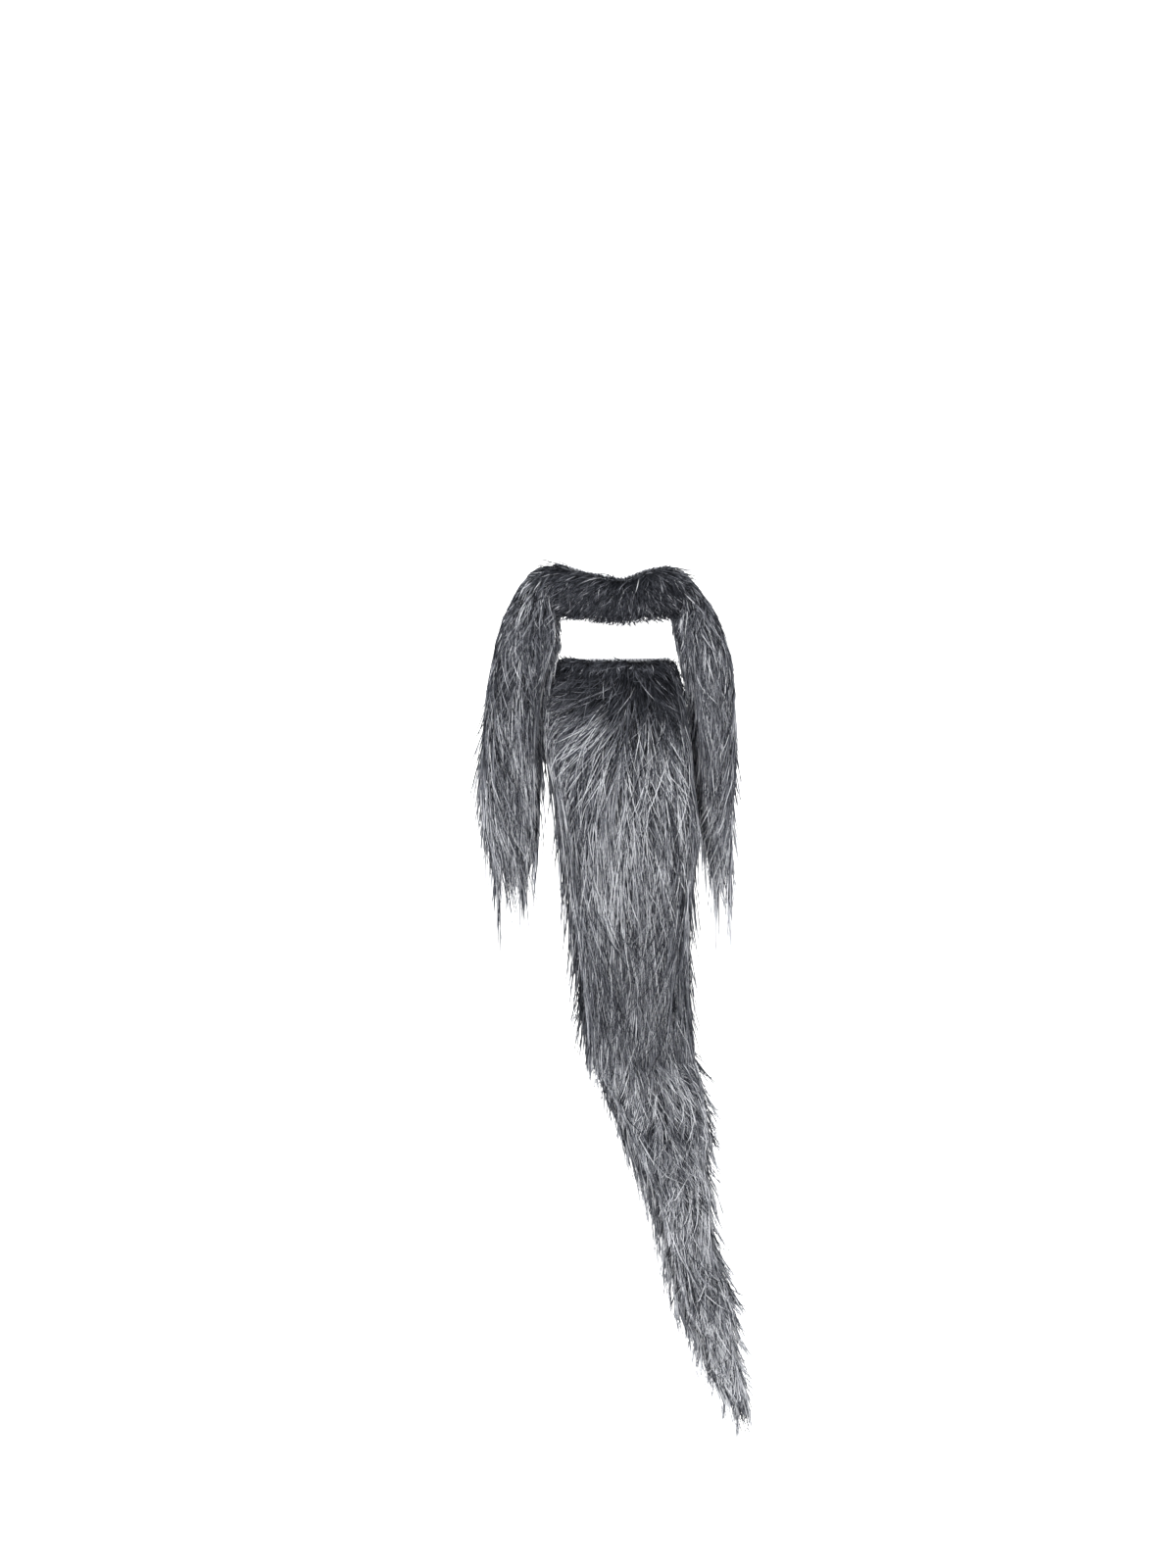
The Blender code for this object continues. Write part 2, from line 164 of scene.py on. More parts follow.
@dataclass(frozen=True)
class StrandFinish:
    """Fur fibres whose tone goes from charcoal to silver, darkened towards the root by painted shade and at full
    tone at the tip.

    Each modelled strand is a few fibres side by side, which its streaks show.
    """

    name: str
    slot: Slot
    painted_root_shade: float = 0.10
    roughness: float = 0.65
    streaks: float = 6.0
    contrast: float = 0.8

    def material(self) -> Material:
        """Makes the material, which reads the strand's tone and the way along it from its map.

        Returns:
            The material.
        """
        nodes = Nodes(self.name, self.roughness)
        place = nodes.add("UVMap", {}, uv_map=STRAND_MAP).outputs["UV"]
        split = nodes.add("SeparateXYZ", {"Vector": place}).outputs
        stretch = nodes.add("Mapping", {"Vector": place, "Scale": (TONE_STEPS * self.streaks, 1.8, 1.0)})
        inputs = {"Vector": stretch.outputs["Vector"], "Scale": 1.0, "Detail": 1.0}
        fibre = nodes.add("TexNoise", inputs, noise_dimensions="2D").outputs["Fac"]
        varied = nodes.maths("MULTIPLY_ADD", fibre, self.contrast, -0.5 * self.contrast)
        charcoal_to_silver = [
            (0.0, (0.006, 0.007, 0.009)),
            (0.30, (0.032, 0.035, 0.043)),
            (0.55, (0.125, 0.131, 0.150)),
            (0.78, (0.370, 0.378, 0.408)),
            (1.0, (0.760, 0.770, 0.800)),
        ]
        tone = nodes.ramp(nodes.maths("ADD", varied, split["X"]), charcoal_to_silver)
        # Painted shade: each fibre darkens towards its root, as if shaded by the fur over it, and reaches its
        # full tone near the tip.
        painted_shades = [self.painted_root_shade + share * (1.0 - self.painted_root_shade) for share in (0.0, 0.25, 0.85, 1.0)]
        marks = (0.0, 0.3, 0.62, 0.9)
        along = nodes.ramp(split["Y"], [(mark, (shade,) * 3) for mark, shade in zip(marks, painted_shades)])
        inputs = {"Factor": 1.0, "A": tone, "B": along}
        shade = nodes.add("Mix", inputs, data_type="RGBA", blend_type="MULTIPLY").outputs["Result"]
        nodes.feed(nodes.shader, {"Base Color": shade, "Specular IOR Level": 0.03})
        return nodes.material


@dataclass(frozen=True)
class UnderFurPaintedShadeFinish:
    """Dense under-fur, streaked along the way the pile falls, coloured near black as painted shade for the gaps
    deep between the hairs.
    """

    name: str
    slot: Slot = Slot.LONG
    streak: float = 900.0

    def material(self) -> Material:
        """Makes the material: fine streaks from a stretched noise, with the same noise as its relief.

        Returns:
            The material.
        """
        nodes = Nodes(self.name, 0.85)
        place = nodes.add("TexCoord", {}).outputs["Object"]
        stretch = nodes.add("Mapping", {"Vector": place, "Scale": (1.0, 1.0, 0.07)}).outputs["Vector"]
        noise = nodes.add("TexNoise", {"Vector": stretch, "Scale": self.streak, "Detail": 3.0}).outputs["Fac"]
        # Painted shade: the streaks stay near black, for the shadow deep in the fur between the hairs.
        colours = [(0.30, (0.002, 0.002, 0.003)), (0.55, (0.009, 0.010, 0.012)), (0.75, (0.05, 0.053, 0.06))]
        nodes.feed(nodes.shader, {"Base Color": nodes.ramp(noise, colours), "Specular IOR Level": 0.0})
        nodes.rough(noise, 0.8, 0.6 * MM)
        return nodes.material


@dataclass(frozen=True)
class KnitFinish:
    """Plain knitted cloth in small chevron stitches."""

    name: str
    pitch: float = 1.3 * MM
    dark: Triple = (0.06, 0.062, 0.068)
    light: Triple = (0.25, 0.255, 0.27)
    slot: Slot = Slot.CLOTH

    def material(self) -> Material:
        """Makes the material: rows of chevrons worked out from the place across and up the cloth.

        Returns:
            The material.
        """
        nodes = Nodes(self.name, 0.9)
        maths = nodes.maths
        place = nodes.add("TexCoord", {}).outputs["Object"]
        split = nodes.add("SeparateXYZ", {"Vector": place}).outputs
        column = maths("MULTIPLY", split["X"], 1.0 / self.pitch)
        row = maths("MULTIPLY", split["Z"], 1.0 / (0.8 * self.pitch))
        rib = maths("PINGPONG", column, 0.5)
        chevron = maths("FRACT", maths("ADD", row, maths("MULTIPLY", rib, 1.2)))
        loop = maths("PINGPONG", maths("MULTIPLY", chevron, 2.0), 1.0)
        edge = maths("MULTIPLY", rib, 2.0)
        height = maths("MULTIPLY", maths("POWER", loop, 0.6), maths("POWER", edge, 0.35))
        fuzz = nodes.add("TexNoise", {"Vector": place, "Scale": 420.0, "Detail": 4.0}).outputs["Fac"]
        # Painted shade: the colour follows the stitches' relief, dark in the grooves between the loops and
        # lighter on their tops, varied by the fuzz.
        relief_and_painted_shade = maths("MULTIPLY", height, maths("ADD", maths("MULTIPLY", fuzz, 0.8), 0.55))
        nodes.feed(nodes.shader, {"Base Color": nodes.ramp(relief_and_painted_shade, [(0.05, self.dark), (0.85, self.light)])})
        nodes.rough(relief_and_painted_shade, 0.9, 0.5 * MM)
        return nodes.material


@dataclass(frozen=True)
class StudioFinish:
    """Plain matt paper for the floor and backdrop."""

    name: str = "studio paper"
    colour: Triple = (0.90, 0.90, 0.90)

    def material(self) -> Material:
        """Makes the paper's material.

        Returns:
            The material.
        """
        nodes = Nodes(self.name, 0.95)
        nodes.feed(nodes.shader, {"Base Color": (*self.colour, 1.0)})
        return nodes.material


# Shapes shared by the pieces


def linked(name: str, data: bpy.types.ID) -> Thing:
    """Adds an object to the scene.

    Args:
        name: Its name.
        data: Its mesh, camera or light.

    Returns:
        The object.
    """
    thing = bpy.data.objects.new(name, data)
    bpy.context.collection.objects.link(thing)
    return thing


def shaped(name: str, shape: bmesh.types.BMesh, material: Material) -> Thing:
    """Makes a smooth-shaded object.

    Args:
        name: Its name.
        shape: Its shape, which is freed.
        material: Its material.

    Returns:
        The object.
    """
    mesh = bpy.data.meshes.new(name)
    shape.to_mesh(mesh)
    shape.free()
    mesh.polygons.foreach_set("use_smooth", [True] * len(mesh.polygons))
    mesh.materials.append(material)
    return linked(name, mesh)


def move(shape: bmesh.types.BMesh, points: Array) -> None:
    """Puts a shape's vertices at those points."""
    for vertex, point in zip(shape.verts, points):
        vertex.co = Vector(point)


def dress(piece: Thing, slot: Slot, node: str = "") -> Thing:
    """Lets a piece ride on the beard and reports it.

    Args:
        piece: The piece.
        slot: Where its finish comes from. It is not used.
        node: The CAD node that it replaces, if it does.

    Returns:
        The piece.
    """
    if node:
        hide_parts(node)
    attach(piece, "root")
    triangles = sum(len(face.vertices) - 2 for face in piece.data.polygons)
    LOG.info("%s: %d triangles", piece.name, triangles)
    return piece


def on_face(x: Array, z: Array, lift: Array, cling: Array | float = 1.0, rest: Array | float = 0.0) -> Array:
    """Points that stand in front of the face's curve.

    Args:
        x: Places across the face, in metres.
        z: Heights.
        lift: How far each stands off the curve.
        cling: The share of the face's curve that is followed there.
        rest: How far back the curve's middle lies there.

    Returns:
        The points, one row of three numbers each.
    """
    slope = cling * x / FACE_RADIUS
    size = np.sqrt(1.0 + slope * slope)
    back = cling * x * x / (2.0 * FACE_RADIUS) + rest
    return np.stack([x + lift * slope / size, back - lift / size, np.broadcast_to(z, x.shape)], axis=-1)


@dataclass(frozen=True)
class Level:
    """A level section of a hanging mass of fur, its sizes as shares of the mass's own.

    Down is its place in the drop, near and far are its two edges and depth is how far it stands out. Cling is
    the share of the face's curve that it follows, rest is how far back it lies, and base is the cloth's width.
    """

    down: float
    near: float
    far: float
    depth: float
    cling: float = 0.30
    rest: float = 0.45
    base: float = 0.56


@dataclass(frozen=True)
class Strands:
    """Fibres as paths of equal count, with a thickness and a tone each."""

    paths: Array
    radii: Array
    tones: Array


def joined(parts: list[Strands]) -> Strands:
    """All those fibres together."""
    fields = ("paths", "radii", "tones")
    return Strands(*(np.concatenate([getattr(part, field) for part in parts]) for field in fields))


@dataclass(frozen=True)
class Comb:
    """How the hair lies at a share of the drop.

    The leans at the near edge, the parting and the far edge are degrees from straight down, outwards. The
    silver columns are the share of silver hairs at the same three places, and the length is in millimetres.
    Scatter is in degrees, and a low fall turns the hair aside sooner beside the parting.
    """

    down: float
    near: float
    middle: float
    far: float
    length: float
    near_silver: float
    middle_silver: float
    far_silver: float
    scatter: float
    fall: float = 0.85


@dataclass(frozen=True)
class Patch:
    """Hairs whose roots lie between two shares of the drop and two of the width.

    Out is the share of the depth where the hairs start and end. Stray and long scale the comb's scatter and
    length. Past is how far they may leave the outline, in millimetres, silver adds to the share of silver hairs,
    and turn is how far their roots point aside, in degrees.
    """

    count: int
    down: Pair
    across: Pair = (-0.98, 0.98)
    out: Pair = (0.74, 1.02)
    stray: float = 1.0
    long: float = 1.0
    past: float = 0.8
    radius: float = 0.22 * MM
    silver: float = 0.0
    turn: float = 0.0
    behind: bool = False

    def both(self) -> tuple["Patch", "Patch"]:
        """This patch mirrored to the near side, and as it is."""
        return replace(self, across=(-self.across[1], -self.across[0])), self


Levels = tuple[Level, ...]
Combs = tuple[Comb, ...]
Patches = tuple[Patch, ...]


def read(rows: Levels | Combs, field: str, down: Array) -> Array:
    """A column of a table, read between its rows."""
    return np.interp(down, [row.down for row in rows], [getattr(row, field) for row in rows])


def forward(bulge: Array) -> Array:
    """How far an outer face stands forward where its squared section bulges that much."""
    return EDGE_FORWARD + (1.0 - EDGE_FORWARD) * bulge


def mixed_tones(silver: Array, chance: Chance, least: float = 0.6) -> Array:
    """Tones of strands, lighter and more varied where the share of silver hairs is higher.

    Args:
        silver: The share of silver hairs at each strand.
        chance: The seeded source of chance.
        least: The least variety, as a share of the most.

    Returns:
        The tones, from 0 to 1.
    """
    variety = 0.18 * np.clip(0.42 + silver, least, 1.0)
    tones = 0.355 + 0.50 * silver + variety * chance.laplace(0.0, 1.0, silver.shape)
    return np.clip(np.where(chance.uniform(0.0, 1.0, silver.shape) < 0.20, 0.40 * tones, tones), 0.02, 0.98)


def strand_piece(name: str, strands: Strands, finish: StrandFinish, facing: Array) -> Thing:
    """One joined mesh of tapered three-sided fibres, each closed at root and tip.

    Args:
        name: The piece's name.
        strands: The fibres.
        finish: Their finish.
        facing: The way that one side of each fibre looks.

    Returns:
        The piece.
    """
    paths = strands.paths
    count, knots, _ = paths.shape
    rings = knots - 1
    along = np.gradient(paths, axis=1)
    along /= np.linalg.norm(along, axis=2, keepdims=True) + 1e-12
    aside = np.cross(along, facing)
    aside /= np.linalg.norm(aside, axis=2, keepdims=True) + 1e-12
    out = FLATNESS * np.cross(aside, along)
    share = np.linspace(0.0, 1.0, knots)
    taper = np.interp(share, [0.0, 0.15, 0.6, 1.0], [0.7, 1.0, 0.85, 0.12])
    points = np.empty((count, rings * 3 + 1, 3))
    for ring in range(rings):
        size = (strands.radii * taper[ring])[:, None]
        for corner in range(3):
            angle = math.pi * (0.5 + 2.0 * corner / 3.0)
            offset = aside[:, ring] * math.cos(angle) + out[:, ring] * math.sin(angle)
            points[:, ring * 3 + corner] = paths[:, ring] + offset * size
    points[:, -1] = paths[:, -1]

    faces: list[tuple[list[int], list[float], list[float]]] = []
    for ring in range(rings):
        for corner, (left, right) in enumerate(SIDES):
            low = ring * 3 + corner
            after = ring * 3 + (corner + 1) % 3
            up = [share[ring], share[ring + 1], share[ring + 1], share[ring]]
            if ring < rings - 1:
                faces.append(([low, low + 3, after + 3, after], [left, left, right, right], up))
            else:
                faces.append(([low, rings * 3, after], [left, 0.5 * (left + right), right], up[::2] + up[3:]))
    faces.append(([0, 1, 2], [side[0] for side in SIDES], [0.0, 0.0, 0.02]))
    corners, across, up = (np.concatenate([face[part] for face in faces]) for part in range(3))

    mesh = bpy.data.meshes.new(name)
    each = points.shape[1]
    loops = (corners.astype(int)[None, :] + each * np.arange(count)[:, None]).ravel()
    totals = np.tile([len(face[0]) for face in faces], count)
    starts = np.concatenate([[0], np.cumsum(totals)[:-1]])
    mesh.vertices.add(count * each)
    mesh.vertices.foreach_set("co", points.astype(np.float32).ravel())
    mesh.loops.add(len(loops))
    mesh.loops.foreach_set("vertex_index", loops.astype(np.int32))
    mesh.polygons.add(len(totals))
    mesh.polygons.foreach_set("loop_start", starts.astype(np.int32))
    mesh.polygons.foreach_set("use_smooth", np.ones(len(totals), dtype=bool))
    mesh.update(calc_edges=True)
    column = np.clip((strands.tones * TONE_STEPS).astype(int), 0, TONE_STEPS - 1)
    places = np.empty((count, len(corners), 2), dtype=np.float32)
    places[:, :, 0] = (column[:, None] + 0.15 + 0.7 * across[None, :]) / TONE_STEPS
    places[:, :, 1] = 0.01 + 0.98 * up[None, :]
    mesh.uv_layers.new(name=STRAND_MAP).data.foreach_set("uv", places.ravel())
    mesh.materials.append(finish.material())
    return dress(linked(name, mesh), finish.slot)


def under_fur_piece(
    name: str,
    node: str,
    cells: tuple[int, int],
    place: Callable[[Array, Array, Array, Array], Array],
    finish: UnderFurPaintedShadeFinish,
) -> Thing:
    """Dense fur, a closed tube with a squared section that stands for a CAD solid.

    Args:
        name: The piece's name.
        node: The CAD node that it replaces.
        cells: How many cells it has around and along.
        place: Gives the points from the turn around, the share down, the share across and the bulge.
        finish: Its finish.

    Returns:
        The piece.
    """
    shape = bmesh.new()
    bmesh.ops.create_cone(shape, cap_ends=True, segments=cells[0], radius1=1.0, radius2=1.0, depth=2.0)
    upright = [edge for edge in shape.edges if abs(edge.verts[0].co.z - edge.verts[1].co.z) > 1.0]
    bmesh.ops.subdivide_edges(shape, edges=upright, cuts=cells[1], use_grid_fill=True)
    spots = np.array([vertex.co[:] for vertex in shape.verts])
    turn = np.arctan2(spots[:, 1], spots[:, 0])
    power = 2.0 / SQUARENESS
    across = np.sign(np.cos(turn)) * np.abs(np.cos(turn)) ** power
    move(shape, place(turn, 0.5 * (1.0 - spots[:, 2]), across, np.abs(np.sin(turn)) ** power))
    bmesh.ops.recalc_face_normals(shape, faces=shape.faces)
    return dress(shaped(name, shape, finish.material()), finish.slot, node)


def squared_rise(turn: Array, bulge: Array, size: Array) -> Array:
    """How far a squared tube stands out at its front and behind, as a share of the depth."""
    return np.where(np.sin(turn) >= 0.0, forward(bulge) * size, EDGE_FORWARD * (1.0 - bulge))


@dataclass
class FurMass:
    """A hanging mass of fur whose outer form follows a table of level sections."""

    name: str
    levels: Levels
    combs: Combs
    side: Side
    top: float
    drop: float
    reach: float
    depth: float
    rest: float
    seed: int
    parting: float = 0.0
    knee: float = 0.72

    def column(self, field: str, down: Array) -> Array:
        """One of the level table's columns, read between its rows."""
        return read(self.levels, field, down)

    def combed(self, field: str, down: Array) -> Array:
        """One of the comb table's columns, read between its rows."""
        return read(self.combs, field, down)

    def between(self, fields: tuple[str, str, str], down: Array, across: Array) -> Array:
        """Reads a value between the near edge, the parting and the far edge.

        Args:
            fields: The comb table's columns at those three places.
            down: Shares of the drop.
            across: Shares of the half width.

        Returns:
            The value at each place.
        """
        near, middle, far = (self.combed(field, down) for field in fields)
        fall = self.combed("fall", down)
        inward = np.clip((self.parting - across) / (1.0 + self.parting), 0.0, 1.0) ** fall
        outward = np.clip((across - self.parting) / (1.0 - self.parting), 0.0, 1.0) ** fall
        return middle + (near - middle) * inward + (far - middle) * outward

    def width(self, down: Array) -> tuple[Array, Array]:
        """The middle and the half width of the section, measured away from the face's middle."""
        near = self.column("near", down)
        far = self.column("far", down)
        return 0.5 * (near + far) * self.reach, 0.5 * (far - near) * self.reach

    def front(self, across: Array) -> Array:
        """How far forward the outer face stands there, as a share of the depth."""
        inside = np.clip(np.abs(across), 0.0, 1.0)
        return forward((1.0 - inside**SQUARENESS) ** (1.0 / SQUARENESS))

    def place(self, across: Array, rise: Array, down: Array) -> Array:
        """Points in the mass.

        Args:
            across: The share of the half width, -1 at the near edge and 1 at the far edge.
            rise: The share of the depth in front of the cloth.
            down: The share of the drop.

        Returns:
            The points, in metres.
        """
        middle, half = self.width(down)
        x = self.side.value * (middle + half * across)
        lift = CLOTH + GAP + rise * self.column("depth", down) * self.depth
        rest = self.column("rest", down) * self.rest
        return on_face(x, self.top - down * self.drop, lift, self.column("cling", down), rest)

    def roots(self, patch: Patch, chance: Chance) -> tuple[Array, Array]:
        """Spreads roots evenly over the patch's area.

        Args:
            patch: The patch.
            chance: The seeded source of chance.

        Returns:
            Shares of the drop and of the half width.
        """
        grid = np.linspace(*patch.down, 240)
        _, half = self.width(grid)
        step = (patch.down[1] - patch.down[0]) / 240.0
        down = chance.choice(grid, patch.count, p=half / half.sum()) + chance.uniform(-step, step, patch.count)
        across = chance.uniform(*patch.across, patch.count)
        return down, across

    def grow(self, patch: Patch, chance: Chance, knots: int) -> Strands:
        """The hairs of one patch, each traced along the way the fur is combed.

        Args:
            patch: The patch.
            chance: The seeded source of chance.
            knots: Points along each hair.

        Returns:
            The hairs.
        """
        count = patch.count
        down, across = self.roots(patch, chance)
        middle, half = self.width(down)
        inward = middle + half * across
        clump = np.floor(inward / (2.4 * MM) + 0.6 * np.sin(down * 70.0)) * 53.0
        clump += np.floor(down * self.drop / (13.0 * MM) + 0.5 * np.sin(inward * 900.0)) * 19.0
        clump_lean, clump_long = chance.normal(0.0, 1.0, (2, CLUMPS))[:, (clump % CLUMPS).astype(int)]
        streak = np.floor(inward / (1.3 * MM) + 0.4 * np.sin(down * 50.0)) * 37.0
        streak += np.floor(down * self.drop / (26.0 * MM) + inward * 400.0) * 11.0
        streak_silver = chance.normal(0.0, 1.0, CLUMPS)[(streak % CLUMPS).astype(int)]
        scatter = np.radians(self.combed("scatter", down)) * patch.stray
        offset = scatter * (0.75 * chance.normal(0.0, 1.0, count) + 0.65 * clump_lean)
        length = self.combed("length", down) * MM * patch.long
        length *= chance.uniform(0.55, 1.3, count) * (1.0 + 0.10 * clump_long)
        phase = chance.uniform(0.0, 2.0 * math.pi, count)
        pitch = chance.uniform(0.5, 1.3, count)
        wave = 0.20 * scatter * chance.uniform(0.3, 1.3, count)
        low, high = patch.out
        tip = high + chance.normal(0.0, 0.035, count)
        silver = self.between(("near_silver", "middle_silver", "far_silver"), down, across) + patch.silver
        silver += np.clip(0.4 + silver, 0.2, 1.0) * (0.24 * streak_silver + 0.20 * clump_long)
        tones = mixed_tones(silver, chance)
        edge = 0.95 + 0.05 * chance.normal(0.0, 1.0, count)
        past = patch.past * MM * np.minimum(0.12 + chance.exponential(1.0, count), 1.6)
        points = []
        for knot in range(knots):
            share = knot / (knots - 1)
            middle, half = self.width(down)
            aside = inward - middle
            room = half * (edge - self.knee) + past * share**1.3
            over = np.maximum(np.abs(aside) - self.knee * half, 0.0)
            kept = np.minimum(np.abs(aside), self.knee * half) + room * np.tanh(over / room)
            across = np.sign(aside) * kept / half
            rise = self.front(across) * (low + (tip - low) * share**0.7)
            if patch.behind:
                hollow = np.sqrt(np.clip(1.0 - across * across, 0.0, 1.0))
                rise = EDGE_FORWARD * (0.55 - 0.5 * hollow) * (1.0 - 0.3 * share)
            points.append(self.place(across, rise, down))
            lean = np.radians(self.between(("near", "middle", "far"), down, across))
            lean += offset * (0.6 + 0.6 * share) + wave * np.sin(phase + 2.0 * math.pi * pitch * share)
            lean += math.radians(patch.turn) * (1.0 - share) ** 3.5
            inward = inward + length / (knots - 1) * np.sin(lean)
            down = down + length / (knots - 1) * np.cos(lean) / self.drop
        radii = patch.radius * chance.uniform(0.75, 1.25, count) * (0.9 + 0.25 * tones)
        return Strands(np.stack(points, axis=1), radii, tones)

    def strand_piece(self, name: str, patches: Patches, knots: int = 6) -> Thing:
        """Makes one piece from several patches of hairs.

        Args:
            name: The piece's name.
            patches: Its patches.
            knots: Points along each hair.

        Returns:
            The piece.
        """
        chance = np.random.default_rng(self.seed)
        strands = joined([self.grow(patch, chance, knots) for patch in patches])
        return strand_piece(name, strands, StrandFinish(f"{name} fur", Slot.LONG), np.array([0.0, -1.0, 0.05]))

    def under_fur(self, reach: Pair, full: Pair) -> Thing:
        """Makes the dense fur under the hairs, which stands for the CAD solid of the same name as the mass.

        Args:
            reach: The shares of the drop where it starts and ends.
            full: The shares of its own length that it takes to reach full size at its start and its end.

        Returns:
            The piece.
        """

        def place(turn: Array, share: Array, across: Array, bulge: Array) -> Array:
            """The points, with shallow grooves between the locks."""
            down = reach[0] + (reach[1] - reach[0]) * share
            start = np.clip(share / full[0], 0.0, 1.0)
            end = np.clip((1.0 - share) / full[1], 0.0, 1.0)
            groove = 0.030 * np.sin(turn * 19.0 + 3.0 * np.sin(down * 21.0))
            groove += 0.020 * np.sin(turn * 31.0 + down * 60.0)
            size = (0.80 + groove) * (0.25 + 0.75 * np.sqrt(end))
            across = across * (size + 0.08) * (0.9 + 0.1 * start)
            return self.place(across, squared_rise(turn, bulge, size * (0.5 + 0.5 * start)), down)

        name = f"{self.name}_under_fur"
        return under_fur_piece(name, self.name, (48, 56), place, UnderFurPaintedShadeFinish(name))


# The base cloths


@dataclass(frozen=True)
class Cut:
    """A cut across the moustache's base cloth, from its lip edge to its outer edge."""

    lip_x: float
    lip_z: float
    edge_x: float
    edge_z: float


def cloth_piece(
    name: str, node: str, cells: tuple[int, int], place: Callable[[Array, Array], Array]
) -> Thing:
    """Makes a stretched sheet of knitted cloth with an even thickness.

    Args:
        name: The piece's name.
        node: The CAD node that it replaces.
        cells: How many cells it has along and across.
        place: Gives the back face's points from shares along and across.

    Returns:
        The piece.
    """
    shape = bmesh.new()
    bmesh.ops.create_grid(shape, x_segments=cells[0], y_segments=cells[1], size=1.0)
    spots = np.array([vertex.co[:] for vertex in shape.verts])
    move(shape, place(0.5 * (spots[:, 0] + 1.0), 0.5 * (spots[:, 1] + 1.0)))
    shape.normal_update()
    if sum(face.normal.y for face in shape.faces) < 0.0:
        bmesh.ops.reverse_faces(shape, faces=shape.faces)
    finish = KnitFinish(name)
    piece = shaped(name, shape, finish.material())
    wall = piece.modifiers.new("cloth thickness", "SOLIDIFY")
    wall.thickness = CLOTH - 0.2 * MM
    wall.offset = -1.0
    dress(piece, finish.slot, node)
    return piece


def edge_stitches(name: str, line: Array, pitch: float = 1.3 * MM, height: float = 0.9 * MM) -> Thing:
    """Makes a thin silver zigzag thread over the cut edge of a cloth.

    Args:
        name: The piece's name.
        line: Points along the edge.
        pitch: The length of a zigzag.
        height: How tall it is.

    Returns:
        The piece.
    """
    steps = np.linalg.norm(np.diff(line, axis=0), axis=1)
    reach = np.concatenate([[0.0], np.cumsum(steps)])
    count = int(reach[-1] / (0.5 * pitch))
    marks = np.linspace(0.0, reach[-1], count + 1)
    spots = np.stack([np.interp(marks, reach, line[:, axis]) for axis in range(3)], axis=1)
    spots[:, 2] += height * np.where(np.arange(count + 1) % 2 == 0, -0.55, 0.45)
    share = np.linspace(-0.12, 1.12, 5)[None, :, None]
    paths = spots[:-1, None, :] + (spots[1:] - spots[:-1])[:, None, :] * share
    paths[:, :, 1] -= 0.25 * MM * np.sin(np.linspace(0.0, math.pi, 5))[None, :]
    tones = np.random.default_rng(5).uniform(0.72, 0.98, count)
    # A little painted shade darkens the start of each stitch.
    finish = StrandFinish(name, Slot.CLOTH, painted_root_shade=0.9)
    return strand_piece(name, Strands(paths, np.full(count, THREAD), tones), finish, np.array([0.0, -1.0, 0.0]))


